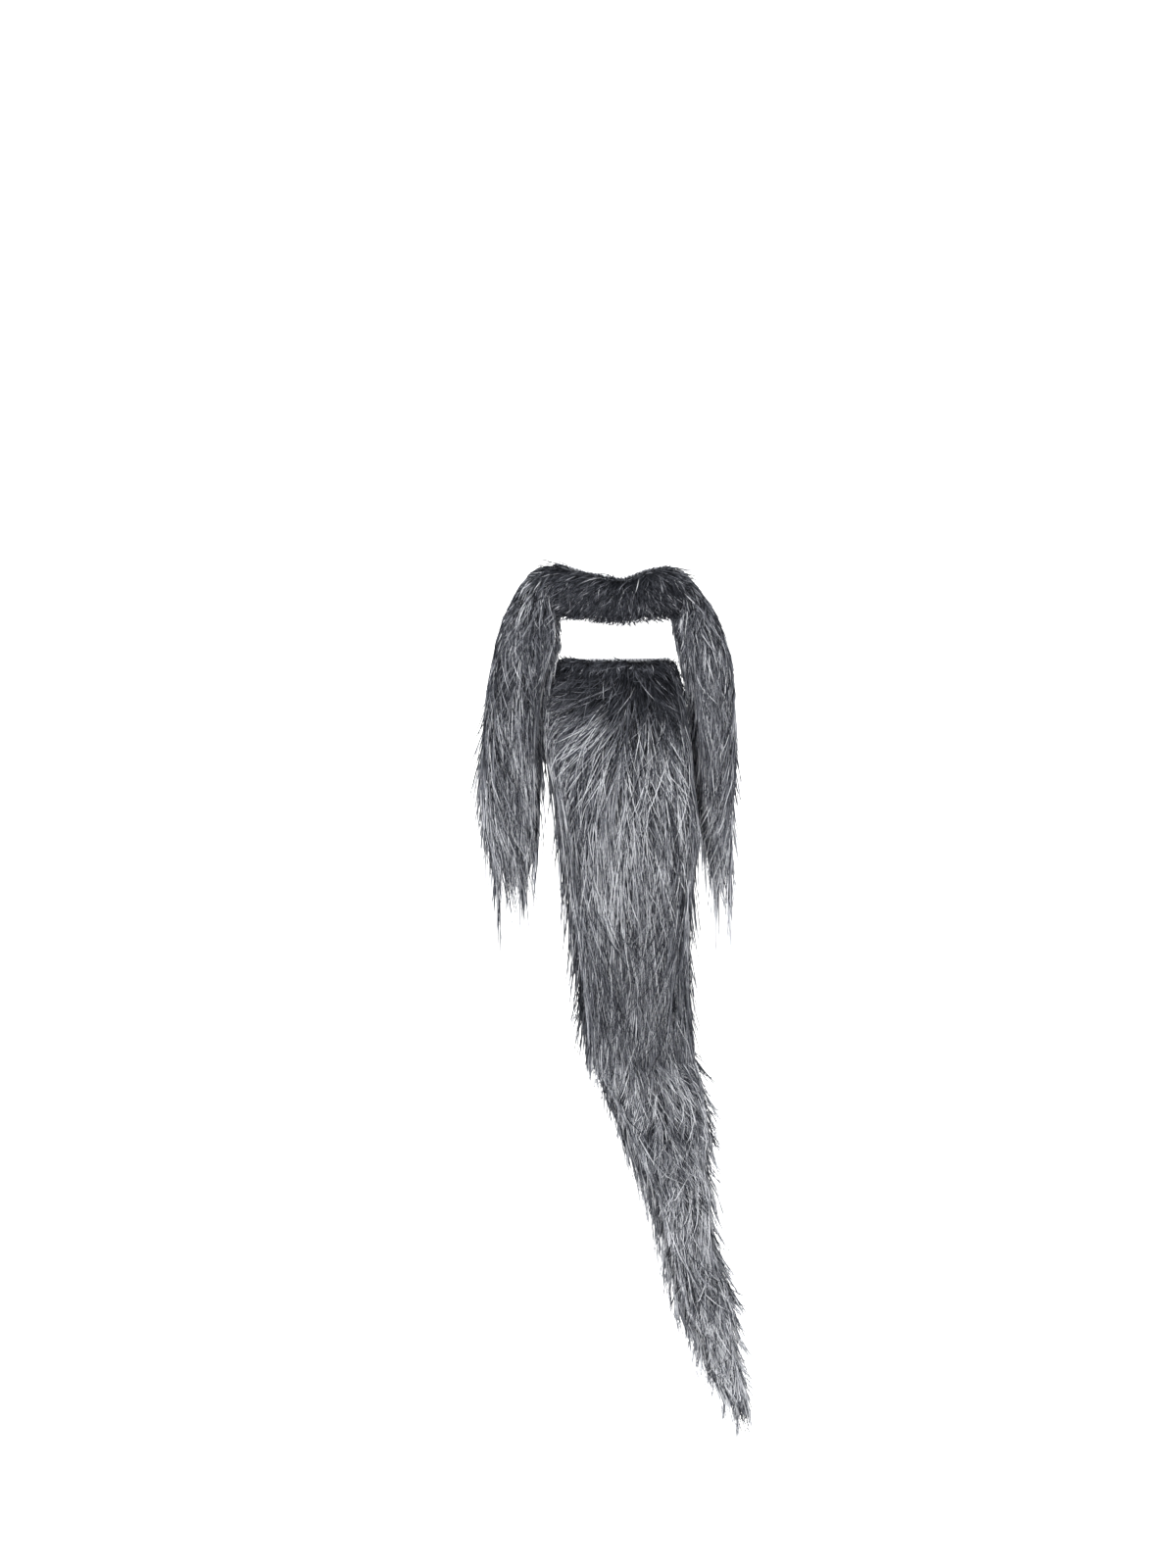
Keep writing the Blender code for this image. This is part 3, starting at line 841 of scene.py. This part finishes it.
@dataclass
class Moustache:
    """The arch of base cloth over the mouth and the short trimmed fur on its middle."""

    span: float = 36.0 * MM
    height: float = 42.0 * MM
    band_span: float = 20.4 * MM
    band_height: float = 12.0 * MM
    band_depth: float = 7.0 * MM
    parting: float = 4.6 * MM
    core: Pair = (-19.6 * MM, 17.0 * MM)
    cuts: tuple[Cut, ...] = (
        Cut(-0.7, -0.7, -0.9, -0.68),
        Cut(-0.66, -0.52, -0.975, -0.48),
        Cut(-0.62, -0.34, -0.99, -0.26),
        Cut(-0.59, -0.215, -0.96, -0.08),
        Cut(-0.54, -0.158, -0.82, 0.125),
        Cut(-0.41, -0.152, -0.595, 0.27),
        Cut(-0.22, -0.165, -0.3, 0.195),
        Cut(0.01, -0.19, 0.01, 0.14),
        Cut(0.2, -0.17, 0.23, 0.215),
        Cut(0.36, -0.155, 0.45, 0.245),
        Cut(0.46, -0.165, 0.67, 0.14),
        Cut(0.505, -0.22, 0.79, -0.04),
        Cut(0.53, -0.34, 0.83, -0.24),
        Cut(0.575, -0.52, 0.84, -0.46),
        Cut(0.62, -0.69, 0.8, -0.67),
    )
    band: tuple[tuple[float, float, float, float], ...] = (
        (-0.962, -0.59, 0.9, 1.05),
        (-0.83, -0.575, 0.79, 1.0),
        (-0.62, -0.58, 0.65, 0.95),
        (-0.34, -0.63, 0.6, 0.86),
        (0.01, -0.71, 0.43, 0.76),
        (0.25, -0.66, 0.6, 0.84),
        (0.45, -0.62, 0.73, 0.92),
        (0.64, -0.59, 0.8, 0.98),
        (0.836, -0.59, 0.82, 1.02),
    )

    def cut_values(self, share: Array) -> tuple[Array, Array, Array, Array]:
        """Reads the places of the cloth's two edges.

        Args:
            share: Shares of the way along the arch.

        Returns:
            The lip edge's x and z, then the outer edge's.
        """
        marks = np.linspace(0.0, 1.0, len(self.cuts))
        columns = np.array([(cut.lip_x, cut.lip_z, cut.edge_x, cut.edge_z) for cut in self.cuts]).T
        scales = (self.span, self.height, self.span, self.height)
        return tuple(np.interp(share, marks, column) * scale for column, scale in zip(columns, scales))

    def base(self) -> Thing:
        """Makes the knitted base cloth.

        Returns:
            The piece.
        """

        def place(along: Array, over: Array) -> Array:
            """The cloth's back face."""
            lip_x, lip_z, edge_x, edge_z = self.cut_values(along)
            x = lip_x + (edge_x - lip_x) * over
            z = lip_z + (edge_z - lip_z) * over
            return on_face(x, z, np.full(x.shape, 0.1 * MM))

        return cloth_piece("moustache_base_cloth", "moustache_backing", (84, 10), place)

    def stitches(self) -> Thing:
        """Makes the silver thread along the upper cut edge of the cloth.

        Returns:
            The piece.
        """
        share = np.linspace(0.36, 0.63, 40)
        _, _, x, z = self.cut_values(share)
        return edge_stitches("moustache_edge_stitches", on_face(x, z, np.full(x.shape, CLOTH)))

    def band_edges(self, across: Array) -> tuple[Array, Array, Array]:
        """Reads the band's outline.

        Args:
            across: Places across, in metres.

        Returns:
            The band's lower edge, upper edge and depth there.
        """
        marks, *columns = np.array(self.band).T
        scales = (self.band_height, self.band_height, self.band_depth)
        share = across / self.band_span
        return tuple(np.interp(share, marks, column) * scale for column, scale in zip(columns, scales))

    def band_lift(self, x: Array, z: Array) -> Array:
        """Works out how far the trimmed fur's outer face stands off the cloth.

        Args:
            x: Places across.
            z: Heights.

        Returns:
            The distances, in metres.
        """
        low, high, depth = self.band_edges(x)
        upward = np.clip((2.0 * z - high - low) / (high - low), -1.0, 1.0)
        return depth * forward((1.0 - np.abs(upward) ** SQUARENESS) ** (1.0 / SQUARENESS))

    def band_strands(self, count: int, chance: Chance) -> Strands:
        """Grows short hairs that fan down and away from the parting at the middle of the lip.

        Args:
            count: How many.
            chance: The seeded source of chance.

        Returns:
            The hairs.
        """
        x = chance.uniform(-21.5 * MM, 17.0 * MM, count)
        low, high, _ = self.band_edges(x)
        z = low + (high - low) * (0.08 + 0.94 * chance.uniform(0.0, 1.0, count) ** 0.8)
        away = np.tanh((x - self.parting) / (9.0 * MM))
        cell = np.floor(x / (2.2 * MM)) * 31 + np.floor(z / (3.0 * MM))
        clump = chance.normal(0.0, 1.0, 499)[cell.astype(int)]
        angle = math.radians(50.0) * away + chance.normal(0.0, 0.46, count) + 0.25 * clump
        length = chance.uniform(5.0 * MM, 10.5 * MM, count)
        bend = chance.normal(0.0, 0.5, count)
        share = np.linspace(0.0, 1.0, 4)[None, :]
        turned = angle[:, None] * (1.0 - 0.30 * share) + bend[:, None] * (share - 0.5)
        run = length[:, None] / 3.0
        xs = np.cumsum(np.hstack([x[:, None], run * np.sin(turned[:, :-1])]), axis=1)
        zs = np.cumsum(np.hstack([z[:, None], -run * np.cos(turned[:, :-1])]), axis=1)
        floor = low[:, None] + chance.uniform(-0.5 * MM, 1.5 * MM, (count, 1))
        zs = np.maximum(zs, floor + 0.4 * (zs - floor))
        face = self.band_lift(xs, np.maximum(zs, low[:, None] + 0.6 * MM))
        lifts = CLOTH + GAP + face * (0.50 + (0.55 + chance.normal(0.0, 0.09, (count, 1))) * share**0.7)
        near = np.exp(-(((x - self.parting) / (5.5 * MM)) ** 2))
        tip = np.clip((low + 4.5 * MM - z) / (6.0 * MM), 0.0, 1.0)
        silver = 0.06 - 0.16 * near + 0.26 * tip + 0.10 * clump + 0.06 * np.clip(-x / (18.0 * MM), -0.5, 1.0)
        tones = 0.88 * mixed_tones(silver, chance, 1.1)
        return Strands(on_face(xs, zs, lifts), 0.20 * MM * chance.uniform(0.75, 1.25, count), tones)

    def fuzz_strands(self, count: int, chance: Chance) -> Strands:
        """Grows stray short fibres that stand up along the band's upper edge.

        Args:
            count: How many.
            chance: The seeded source of chance.

        Returns:
            The fibres.
        """
        x = chance.uniform(-21.0 * MM, 16.0 * MM, count)
        _, high, _ = self.band_edges(x)
        z = high - chance.uniform(0.2 * MM, 2.0 * MM, count) - np.clip(-x - 20.0 * MM, 0.0, 1.0) * 0.8
        away = np.tanh((x - 1.0 * MM) / (9.0 * MM))
        angle = math.radians(75.0) * away + chance.normal(0.0, 0.5, count)
        length = chance.uniform(2.0 * MM, 4.8 * MM, count)
        share = np.linspace(0.0, 1.0, 4)[None, :]
        xs = x[:, None] + length[:, None] * share * np.sin(angle)[:, None]
        zs = z[:, None] + length[:, None] * (share * np.cos(angle)[:, None] * 0.7 - 0.15 * share**2)
        lifts = CLOTH + GAP + (1.2 * MM + 2.2 * MM * share) * np.ones((count, 1))
        tones = mixed_tones(np.full(count, 0.05), chance)
        return Strands(on_face(xs, zs, lifts), np.full(count, 0.16 * MM), tones)

    def under_fur(self) -> Thing:
        """Makes the dense trimmed fur under the short fibres, which stands for the CAD band.

        Returns:
            The piece.
        """

        def place(turn: Array, share: Array, across: Array, bulge: Array) -> Array:
            """The points, with a slightly rough front."""
            x = self.core[1] + (self.core[0] - self.core[1]) * share
            low, high, depth = self.band_edges(x)
            z = 0.5 * (high + low) + 0.46 * (high - low) * across
            rough = 0.80 + 0.04 * np.sin(x * 2600.0 + 5.0 * turn)
            return on_face(x, z, CLOTH + GAP + squared_rise(turn, bulge, rough) * depth)

        finish = UnderFurPaintedShadeFinish("moustache under-fur", Slot.TRIMMED)
        return under_fur_piece("moustache_under_fur", "moustache_fur", (40, 40), place, finish)

    def build(self) -> None:
        """Builds and dresses the moustache's middle."""
        self.base()
        self.stitches()
        self.under_fur()
        chance = np.random.default_rng(21)
        strands = joined([self.band_strands(4000, chance), self.fuzz_strands(560, chance)])
        # Painted shade darkens the short fibres almost to black at their roots.
        finish = StrandFinish("trimmed fur", Slot.TRIMMED, painted_root_shade=0.05)
        strand_piece("moustache_short_fur", strands, finish, np.array([0.0, -1.0, 0.1]))


LEFT_LEVELS = (
    Level(0.0, 0.425, 0.5, 0.25, 1.0),
    Level(0.03, 0.422, 0.59, 0.48, 1.0),
    Level(0.073, 0.418, 0.655, 0.68, 1.0),
    Level(0.125, 0.416, 0.7, 0.82, 1.0),
    Level(0.168, 0.416, 0.742, 0.9, 1.0),
    Level(0.254, 0.424, 0.785, 0.98, 1.0),
    Level(0.366, 0.51, 0.842, 1.0, 0.85),
    Level(0.513, 0.553, 0.9, 1.0, 0.65),
    Level(0.66, 0.57, 0.942, 0.95, 0.5),
    Level(0.789, 0.59, 0.94, 0.82, 0.45),
    Level(0.892, 0.64, 0.885, 0.62, 0.42),
    Level(0.94, 0.7, 0.862, 0.4, 0.4),
)
RIGHT_LEVELS = (
    Level(0.013, 0.366, 0.405, 0.25, 1.0),
    Level(0.041, 0.365, 0.445, 0.46, 1.0),
    Level(0.076, 0.363, 0.5, 0.64, 1.0),
    Level(0.12, 0.363, 0.567, 0.78, 1.0),
    Level(0.168, 0.366, 0.624, 0.86, 1.0),
    Level(0.209, 0.372, 0.656, 0.9, 1.0),
    Level(0.297, 0.423, 0.712, 0.96, 0.95),
    Level(0.371, 0.46, 0.735, 0.96, 0.85),
    Level(0.518, 0.512, 0.768, 0.92, 0.65),
    Level(0.665, 0.538, 0.775, 0.86, 0.55),
    Level(0.78, 0.594, 0.755, 0.74, 0.5),
    Level(0.9, 0.66, 0.785, 0.56, 0.45),
    Level(0.985, 0.72, 0.788, 0.34, 0.42),
)
CHIN_LEVELS = (
    Level(0.0, -0.431, 0.402, 0.24, 1.0, 1.0, 0.97),
    Level(0.025, -0.48, 0.418, 0.44, 1.0, 0.7, 0.96),
    Level(0.056, -0.502, 0.432, 0.64, 1.0, 0.34, 0.94),
    Level(0.109, -0.492, 0.456, 0.78, 0.9, 0.18, 0.9),
    Level(0.162, -0.44, 0.476, 0.86, 0.75, 0.15, 0.84),
    Level(0.226, -0.392, 0.535, 0.89, 0.6, 0.18, 0.78),
    Level(0.29, -0.362, 0.464, 0.9, 0.5, 0.22, 0.74),
    Level(0.366, -0.302, 0.44, 0.95, 0.42, 0.28, 0.68),
    Level(0.446, -0.25, 0.462, 1.02, 0.36, 0.36, 0.64),
    Level(0.5, -0.226, 0.5, 1.1, 0.33, 0.42, 0.6),
)
TAIL_LEVELS = (
    Level(0.446, -0.18, 0.392, 0.74, 0.36, 0.36, 0.86),
    Level(0.484, -0.19, 0.432, 0.84, 0.34, 0.4, 0.72),
    Level(0.522, -0.175, 0.515, 1.1, 0.32, 0.45, 0.58),
    Level(0.582, -0.022, 0.575, 1.1),
    Level(0.62, 0.062, 0.592, 1.02),
    Level(0.658, 0.15, 0.56, 0.88),
    Level(0.7, 0.256, 0.625, 0.8),
    Level(0.737, 0.3, 0.618, 0.74),
    Level(0.775, 0.356, 0.645, 0.7),
    Level(0.813, 0.406, 0.735, 0.72),
    Level(0.855, 0.47, 0.792, 0.66),
    Level(0.893, 0.615, 0.792, 0.5),
    Level(0.931, 0.655, 0.838, 0.46),
    Level(0.969, 0.8, 0.925, 0.34),
    Level(0.995, 0.89, 0.968, 0.24),
)
LEFT_COMBS = (
    Comb(0.0, 30, 46, 52, 11, 0.16, 0.16, 0.16, 18),
    Comb(0.06, 12, 36, 44, 19, 0.26, 0.28, 0.3, 16),
    Comb(0.14, -2, 18, 32, 30, 0.26, 0.34, 0.46, 13),
    Comb(0.25, -2, 8, 17, 40, 0.46, 0.58, 0.7, 9),
    Comb(0.4, 2, 5, 10, 46, 0.52, 0.7, 0.82, 7),
    Comb(0.55, 0, 3, 5, 41, 0.58, 0.76, 0.84, 6),
    Comb(0.7, -3, -1, 0, 30, 0.8, 0.86, 0.88, 7),
    Comb(0.9, -4, -3, -4, 24, 0.84, 0.86, 0.88, 8),
)
RIGHT_COMBS = (
    Comb(0.01, 25, 42, 48, 11, 0.14, 0.18, 0.18, 18),
    Comb(0.07, 8, 33, 42, 19, 0.22, 0.28, 0.34, 16),
    Comb(0.14, 0, 18, 32, 30, 0.26, 0.36, 0.52, 13),
    Comb(0.25, 4, 10, 17, 40, 0.3, 0.5, 0.66, 9),
    Comb(0.4, 5, 6, 8, 46, 0.48, 0.72, 0.88, 7),
    Comb(0.55, 4, 4, 3, 43, 0.78, 0.94, 1.0, 6),
    Comb(0.7, 5, 4, 1, 34, 0.92, 1.0, 1.04, 8),
    Comb(0.95, 4, 3, 0, 24, 0.84, 0.9, 0.92, 9),
)
CHIN_COMBS = (
    Comb(0.0, -56, -5, 50, 9, -0.1, -0.12, -0.1, 30, 0.5),
    Comb(0.03, -54, -5, 46, 17, 0.06, 0.0, 0.02, 24, 0.5),
    Comb(0.05, -52, -4, 38, 28, 0.68, 0.56, 0.62, 18, 0.5),
    Comb(0.094, -46, -3, 24, 40, 0.74, 0.68, 0.7, 12, 0.75),
    Comb(0.125, -34, -1, 19, 44, 0.72, 0.68, 0.7, 10, 0.85),
    Comb(0.165, -18, 0, 16, 46, 0.72, 0.62, 0.68, 8),
    Comb(0.205, -8, 2, 14, 46, 0.68, 0.66, 0.74, 8),
    Comb(0.246, -3, 3, 10, 42, 0.7, 0.72, 0.78, 8),
    Comb(0.322, -1, 2, 4, 38, 0.5, 0.52, 0.52, 8),
    Comb(0.41, -3, 1, 4, 32, 0.5, 0.52, 0.54, 9),
    Comb(0.46, -5, 1, 6, 25, 0.52, 0.54, 0.56, 10),
)
# In the tail the near and far silver columns run above the middle one: a painted highlight along the tail's
# edges, where the backdrop's glow lights them.
TAIL_COMBS = (
    Comb(0.446, -34, 8, 44, 16, 0.5, 0.16, 0.46, 14),
    Comb(0.486, -26, 12, 40, 20, 0.7, 0.58, 0.7, 16),
    Comb(0.55, -20, 13, 38, 21, 0.68, 0.58, 0.66, 17),
    Comb(0.64, -14, 13, 35, 21, 0.74, 0.7, 0.74, 14),
    Comb(0.765, -10, 14, 34, 19, 0.8, 0.72, 0.78, 14),
    Comb(0.89, -6, 15, 32, 16, 1.0, 0.9, 1.0, 14),
    Comb(0.95, 0, 15, 26, 13, 1.1, 1.0, 1.1, 13),
    Comb(0.995, 6, 16, 22, 8, 0.1, 0.0, 0.1, 13),
)
CHIN_TIERS = {
    "chin_brow_strands": (
        Patch(420, (-0.0035, 0.006), (-1.0, 0.2), (0.8, 1.0), 1.2, 0.45, radius=WISP, turn=-30),
        Patch(200, (-0.002, 0.008), (0.2, 1.0), (0.8, 1.0), 1.2, 0.45, radius=WISP, turn=20),
        Patch(1500, (-0.003, 0.06), (-0.99, 0.99), (0.7, 1.0), radius=0.17 * MM),
        Patch(1500, (0.05, 0.12)),
        Patch(360, (0.004, 0.13), (0.85, 1.6), (0.7, 1.0), 1.0, 0.8, 2.0),
    ),
    "chin_upper_strands": (
        Patch(1800, (0.11, 0.19)),
        Patch(1750, (0.18, 0.27)),
        *Patch(130, (0.08, 0.3), (0.6, 1.0), (0.85, 1.1), 1.8, 1.0, 4.5, WISP, -0.4).both(),
    ),
    "chin_lower_strands": (
        Patch(2000, (0.26, 0.355)),
        Patch(1400, (0.345, 0.425)),
        *Patch(240, (0.06, 0.42), (0.6, 1.0), behind=True).both(),
        *Patch(170, (0.05, 0.43), (0.9, 1.6), (0.1, 0.7)).both(),
        *Patch(350, (0.2, 0.43), (0.6, 1.0), (0.85, 1.1), 2.2, 1.1, 5.0, WISP, -0.4).both(),
    ),
}
TAIL_TIERS = {
    "tail_upper_strands": (
        *Patch(400, (0.5, 0.72), (0.4, 1.0), behind=True).both(),
        *Patch(130, (0.49, 0.72), (0.9, 1.6), (0.1, 0.7)).both(),
        Patch(750, (0.446, 0.485), (-0.9, 0.9), (0.85, 1.1)),
        Patch(2200, (0.475, 0.6), out=(0.7, 1.1)),
        Patch(1500, (0.59, 0.72), out=(0.7, 1.1)),
        Patch(380, (0.5, 0.72), (-1.0, -0.5), (0.8, 1.2), 1.4, 1.6, 4.5, WISP, -0.2),
        Patch(380, (0.48, 0.72), (0.5, 1.0), (0.8, 1.2), 1.4, 1.6, 6.5, WISP, -0.2),
    ),
    "tail_lower_strands": (
        *Patch(280, (0.71, 0.95), (0.4, 1.0), behind=True).both(),
        *Patch(110, (0.71, 0.95), (0.9, 1.6), (0.1, 0.7)).both(),
        Patch(1500, (0.71, 0.84), out=(0.68, 1.1)),
        Patch(1150, (0.83, 0.945), out=(0.66, 1.1)),
        Patch(380, (0.935, 0.985), out=(0.55, 1.05), long=0.7),
        Patch(380, (0.72, 0.95), (-1.0, -0.4), (0.8, 1.3), 1.5, 1.7, 5.5, WISP, -0.2),
        Patch(340, (0.72, 0.95), (0.4, 1.0), (0.8, 1.3), 1.5, 1.7, 6.0, WISP, -0.2),
        Patch(300, (0.968, 0.992), (-0.9, 0.9), (0.7, 1.0), 1.0, 0.5, silver=-0.4),
        Patch(46, (0.93, 0.98), (-0.8, 0.8), (0.6, 1.1), 1.2, 1.75, 1.2, WISP, -0.3),
    ),
}


@dataclass
class SideLock:
    """A long lock that hangs beside the mouth."""

    name: str
    side: Side
    levels: Levels
    combs: Combs
    end: float
    seed: int
    top: float = 11.5 * MM
    drop: float = 116.0 * MM
    reach: float = 48.0 * MM
    depth: float = 12.5 * MM

    def patches(self) -> Patches:
        """Lists the lock's hairs, from its crown to its ragged ends.

        Returns:
            The patches.
        """
        start = self.levels[0].down + 0.012
        return (
            Patch(400, (0.45, 0.66), behind=True),
            Patch(700, (start, 0.14)),
            Patch(1250, (0.1, 0.34)),
            Patch(1150, (0.3, 0.53)),
            Patch(320, (0.5, 0.66), out=(0.6, 0.98)),
            Patch(260, (0.08, 0.44), (-1.6, -0.8), stray=1.8, long=0.4, past=2.0, radius=0.2 * MM),
            Patch(90, (start, 0.12), (-1.0, 1.0), (0.9, 1.1), 1.4, 0.4, 0.7, WISP),
            Patch(160, (0.06, 0.34), (0.5, 1.0), (0.9, 1.1), 1.6, 0.36, 2.0, WISP, -0.4),
            Patch(380, (0.32, 0.68), (0.4, 1.0), (0.9, 1.1), 2.1, 0.9, 5.0, WISP, -0.4),
            Patch(280, (0.3, 0.8), (-1.0, 1.0), (0.8, 1.1), 2.0, 1.25, 4.0, WISP, -0.4),
            Patch(44, (0.66, 0.82), (-0.5, 0.9), (0.6, 1.0), 1.0, 1.5, 1.2, WISP, -0.3),
        )

    def build(self) -> None:
        """Builds and dresses the lock."""
        sizes = (self.top, self.drop, self.reach, self.depth)
        mass = FurMass(self.name, self.levels, self.combs, self.side, *sizes, 0.0, self.seed)
        reach = (self.levels[0].down + 0.01, self.end)
        mass.under_fur(reach, (0.12, 0.35))
        mass.strand_piece(f"{self.name}_strands", self.patches())


@dataclass
class ChinBeard:
    """The chin beard: its base cloth, the wide upper fur and the long tail."""

    top: float = -23.3 * MM
    drop: float = 270.0 * MM
    reach: float = 48.0 * MM
    depth: float = 18.0 * MM
    rest: float = 5.5 * MM
    knit_showing: float = 0.9 * MM
    strip_least: float = 1.6 * MM

    def mass(self, name: str, levels: Levels, combs: Combs, parting: float = 0.0, seed: int = 0) -> FurMass:
        """Sets up one of the beard's masses of fur.

        Args:
            name: Its name.
            levels: Its sections.
            combs: How its hair lies.
            parting: Where its hair parts, as a share of the half width.
            seed: What its chance starts from.

        Returns:
            The mass.
        """
        sizes = (self.top, self.drop, self.reach, self.depth, self.rest)
        return FurMass(name, levels, combs, Side.RIGHT, *sizes, seed, parting)

    def base(self) -> Thing:
        """Makes the knitted shield on the chin and the strip that it narrows to down the tail.

        Returns:
            The piece.
        """
        rows = CHIN_LEVELS[:-1] + TAIL_LEVELS[1:]
        mass = self.mass("chin", rows, CHIN_COMBS)

        def place(along: Array, over: Array) -> Array:
            """The cloth's back face."""
            down = along * rows[-1].down
            middle, _ = mass.width(down)
            widths = [0.5 * (row.far - row.near) * (row.base - 0.05) * self.reach for row in rows]
            half = np.maximum(np.interp(down, [row.down for row in rows], widths), self.strip_least)
            x = middle + half * (2.0 * over - 1.0)
            z = self.top - down * self.drop
            z = z + self.knit_showing * np.clip(1.0 - down / rows[1].down, 0.0, 1.0)
            rest = mass.column("rest", down) * self.rest
            return on_face(x, z, np.full(x.shape, 0.1 * MM), mass.column("cling", down), rest)

        return cloth_piece("chin_base_cloth", "chin_backing", (170, 14), place)

    def stitches(self) -> Thing:
        """Makes the silver thread along the upper cut edge of the cloth.

        Returns:
            The piece.
        """
        x = np.linspace(-19.4 * MM, 18.2 * MM, 60)
        line = on_face(x, self.top + self.knit_showing, np.full(x.shape, CLOTH), 1.0, self.rest)
        return edge_stitches("chin_edge_stitches", line)

    def build(self) -> None:
        """Builds and dresses the chin beard."""
        self.base()
        self.stitches()
        chin = self.mass("chin_fur", CHIN_LEVELS, CHIN_COMBS, 0.28, 31)
        tail = self.mass("tail_fur", TAIL_LEVELS, TAIL_COMBS, 0.0, 47)
        chin.under_fur((0.0, 0.452), (0.02, 0.06))
        tail.under_fur((0.440, 0.985), (0.05, 0.10))
        for mass, tiers, knots in ((chin, CHIN_TIERS, 6), (tail, TAIL_TIERS, 5)):
            for name, patches in tiers.items():
                mass.strand_piece(name, patches, knots)


@dataclass
class Studio:
    """A plain pale floor that curves up behind, soft lights and the camera."""

    azimuth: float = -6.0
    elevation: float = 6.0
    distance: float = 1.2
    pixel: float = 0.34 * MM
    sensor: float = 36.0
    origin_pixel: Pair = (633.0, 608.0)
    frame_pixels: Pair = (1200.0, 1600.0)
    floor_z: float = -0.345

    def stand(self, name: str, data: bpy.types.ID, place: Vector, way: Vector) -> Thing:
        """Stands a camera or a light in the studio.

        Args:
            name: Its name.
            data: The camera or light.
            place: Where it stands.
            way: The way it looks.

        Returns:
            The object.
        """
        thing = linked(name, data)
        thing.location = place
        thing.rotation_mode = "QUATERNION"
        thing.rotation_quaternion = way.to_track_quat("-Z", "Y")
        return thing

    def camera(self) -> None:
        """Adds the camera at the photograph's angle."""
        a = math.radians(self.azimuth)
        e = math.radians(self.elevation)
        back = Vector((math.sin(a) * math.cos(e), -math.cos(a) * math.cos(e), math.sin(e)))
        right = Vector((math.cos(a), math.sin(a), 0.0))
        up = back.cross(right)
        aside = (0.5 * self.frame_pixels[0] - self.origin_pixel[0]) * self.pixel
        below = (0.5 * self.frame_pixels[1] - self.origin_pixel[1]) * self.pixel
        data = bpy.data.cameras.new("camera")
        data.sensor_width = self.sensor
        data.lens = self.sensor * self.distance / (self.frame_pixels[1] * self.pixel)
        data.clip_start = 0.05
        place = right * aside - up * below + back * self.distance
        bpy.context.scene.camera = self.stand("camera", data, place, -back)

    def sweep(self) -> None:
        """Adds the floor and backdrop, one sheet bent up behind."""
        path = [(-2.6, 0.0), (0.9, 0.0)]
        turns = np.linspace(0.1, 0.5 * math.pi, 14)
        path += [(0.9 + 0.6 * math.sin(turn), 0.6 - 0.6 * math.cos(turn)) for turn in turns]
        path.append((1.5, 3.2))
        last = len(path) - 1
        shape = bmesh.new()
        bmesh.ops.create_grid(shape, x_segments=1, y_segments=last, size=1.0)
        spots = np.array([vertex.co[:] for vertex in shape.verts])
        line = np.array(path)[np.rint(0.5 * (spots[:, 1] + 1.0) * last).astype(int)]
        move(shape, np.stack([3.0 * spots[:, 0], line[:, 0], self.floor_z + line[:, 1]], axis=1))
        bmesh.ops.recalc_face_normals(shape, faces=shape.faces)
        shaped("studio_sweep", shape, StudioFinish().material())

    def light(self, name: str, place: Triple, target: Triple, size: float, power: float) -> None:
        """Adds a soft square light.

        Args:
            name: The light's name.
            place: Where it stands.
            target: What it looks at.
            size: The length of its side.
            power: Its strength in watts.
        """
        data = bpy.data.lights.new(name, "AREA")
        data.size = size
        data.energy = power
        self.stand(name, data, Vector(place), Vector(target) - Vector(place))

    def build(self) -> None:
        """Sets the whole studio up."""
        self.camera()
        self.sweep()
        front = (0.0, 0.0, -0.12)
        self.light("key", (-0.8, -1.3, 1.0), front, 0.8, 30.0)
        self.light("fill", (1.2, -1.2, 0.3), front, 1.0, 12.0)
        self.light("left_rim", (-1.1, 0.35, 0.25), front, 0.7, 12.0)
        self.light("right_rim", (1.1, 0.35, 0.25), front, 0.7, 12.0)
        self.light("backdrop", (0.0, 0.1, 1.9), (0.0, 1.5, 0.0), 1.6, 60.0)
        world = bpy.data.worlds.new("studio")
        bpy.context.scene.world = world
        world.use_nodes = True
        background = world.node_tree.nodes["Background"]
        background.inputs["Color"].default_value = (1.0, 1.0, 1.0, 1.0)
        background.inputs["Strength"].default_value = 0.45
        bpy.context.scene.view_settings.view_transform = "Standard"


def main() -> None:
    """Builds every part of the beard and the studio."""
    logging.basicConfig(level=logging.INFO, format="%(message)s")
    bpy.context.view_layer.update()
    Moustache().build()
    SideLock("moustache_lock_left", Side.LEFT, LEFT_LEVELS, LEFT_COMBS, 0.84, 3).build()
    SideLock("moustache_lock_right", Side.RIGHT, RIGHT_LEVELS, RIGHT_COMBS, 0.86, 11).build()
    ChinBeard().build()
    Studio().build()


if __name__ == "__main__":
    main()
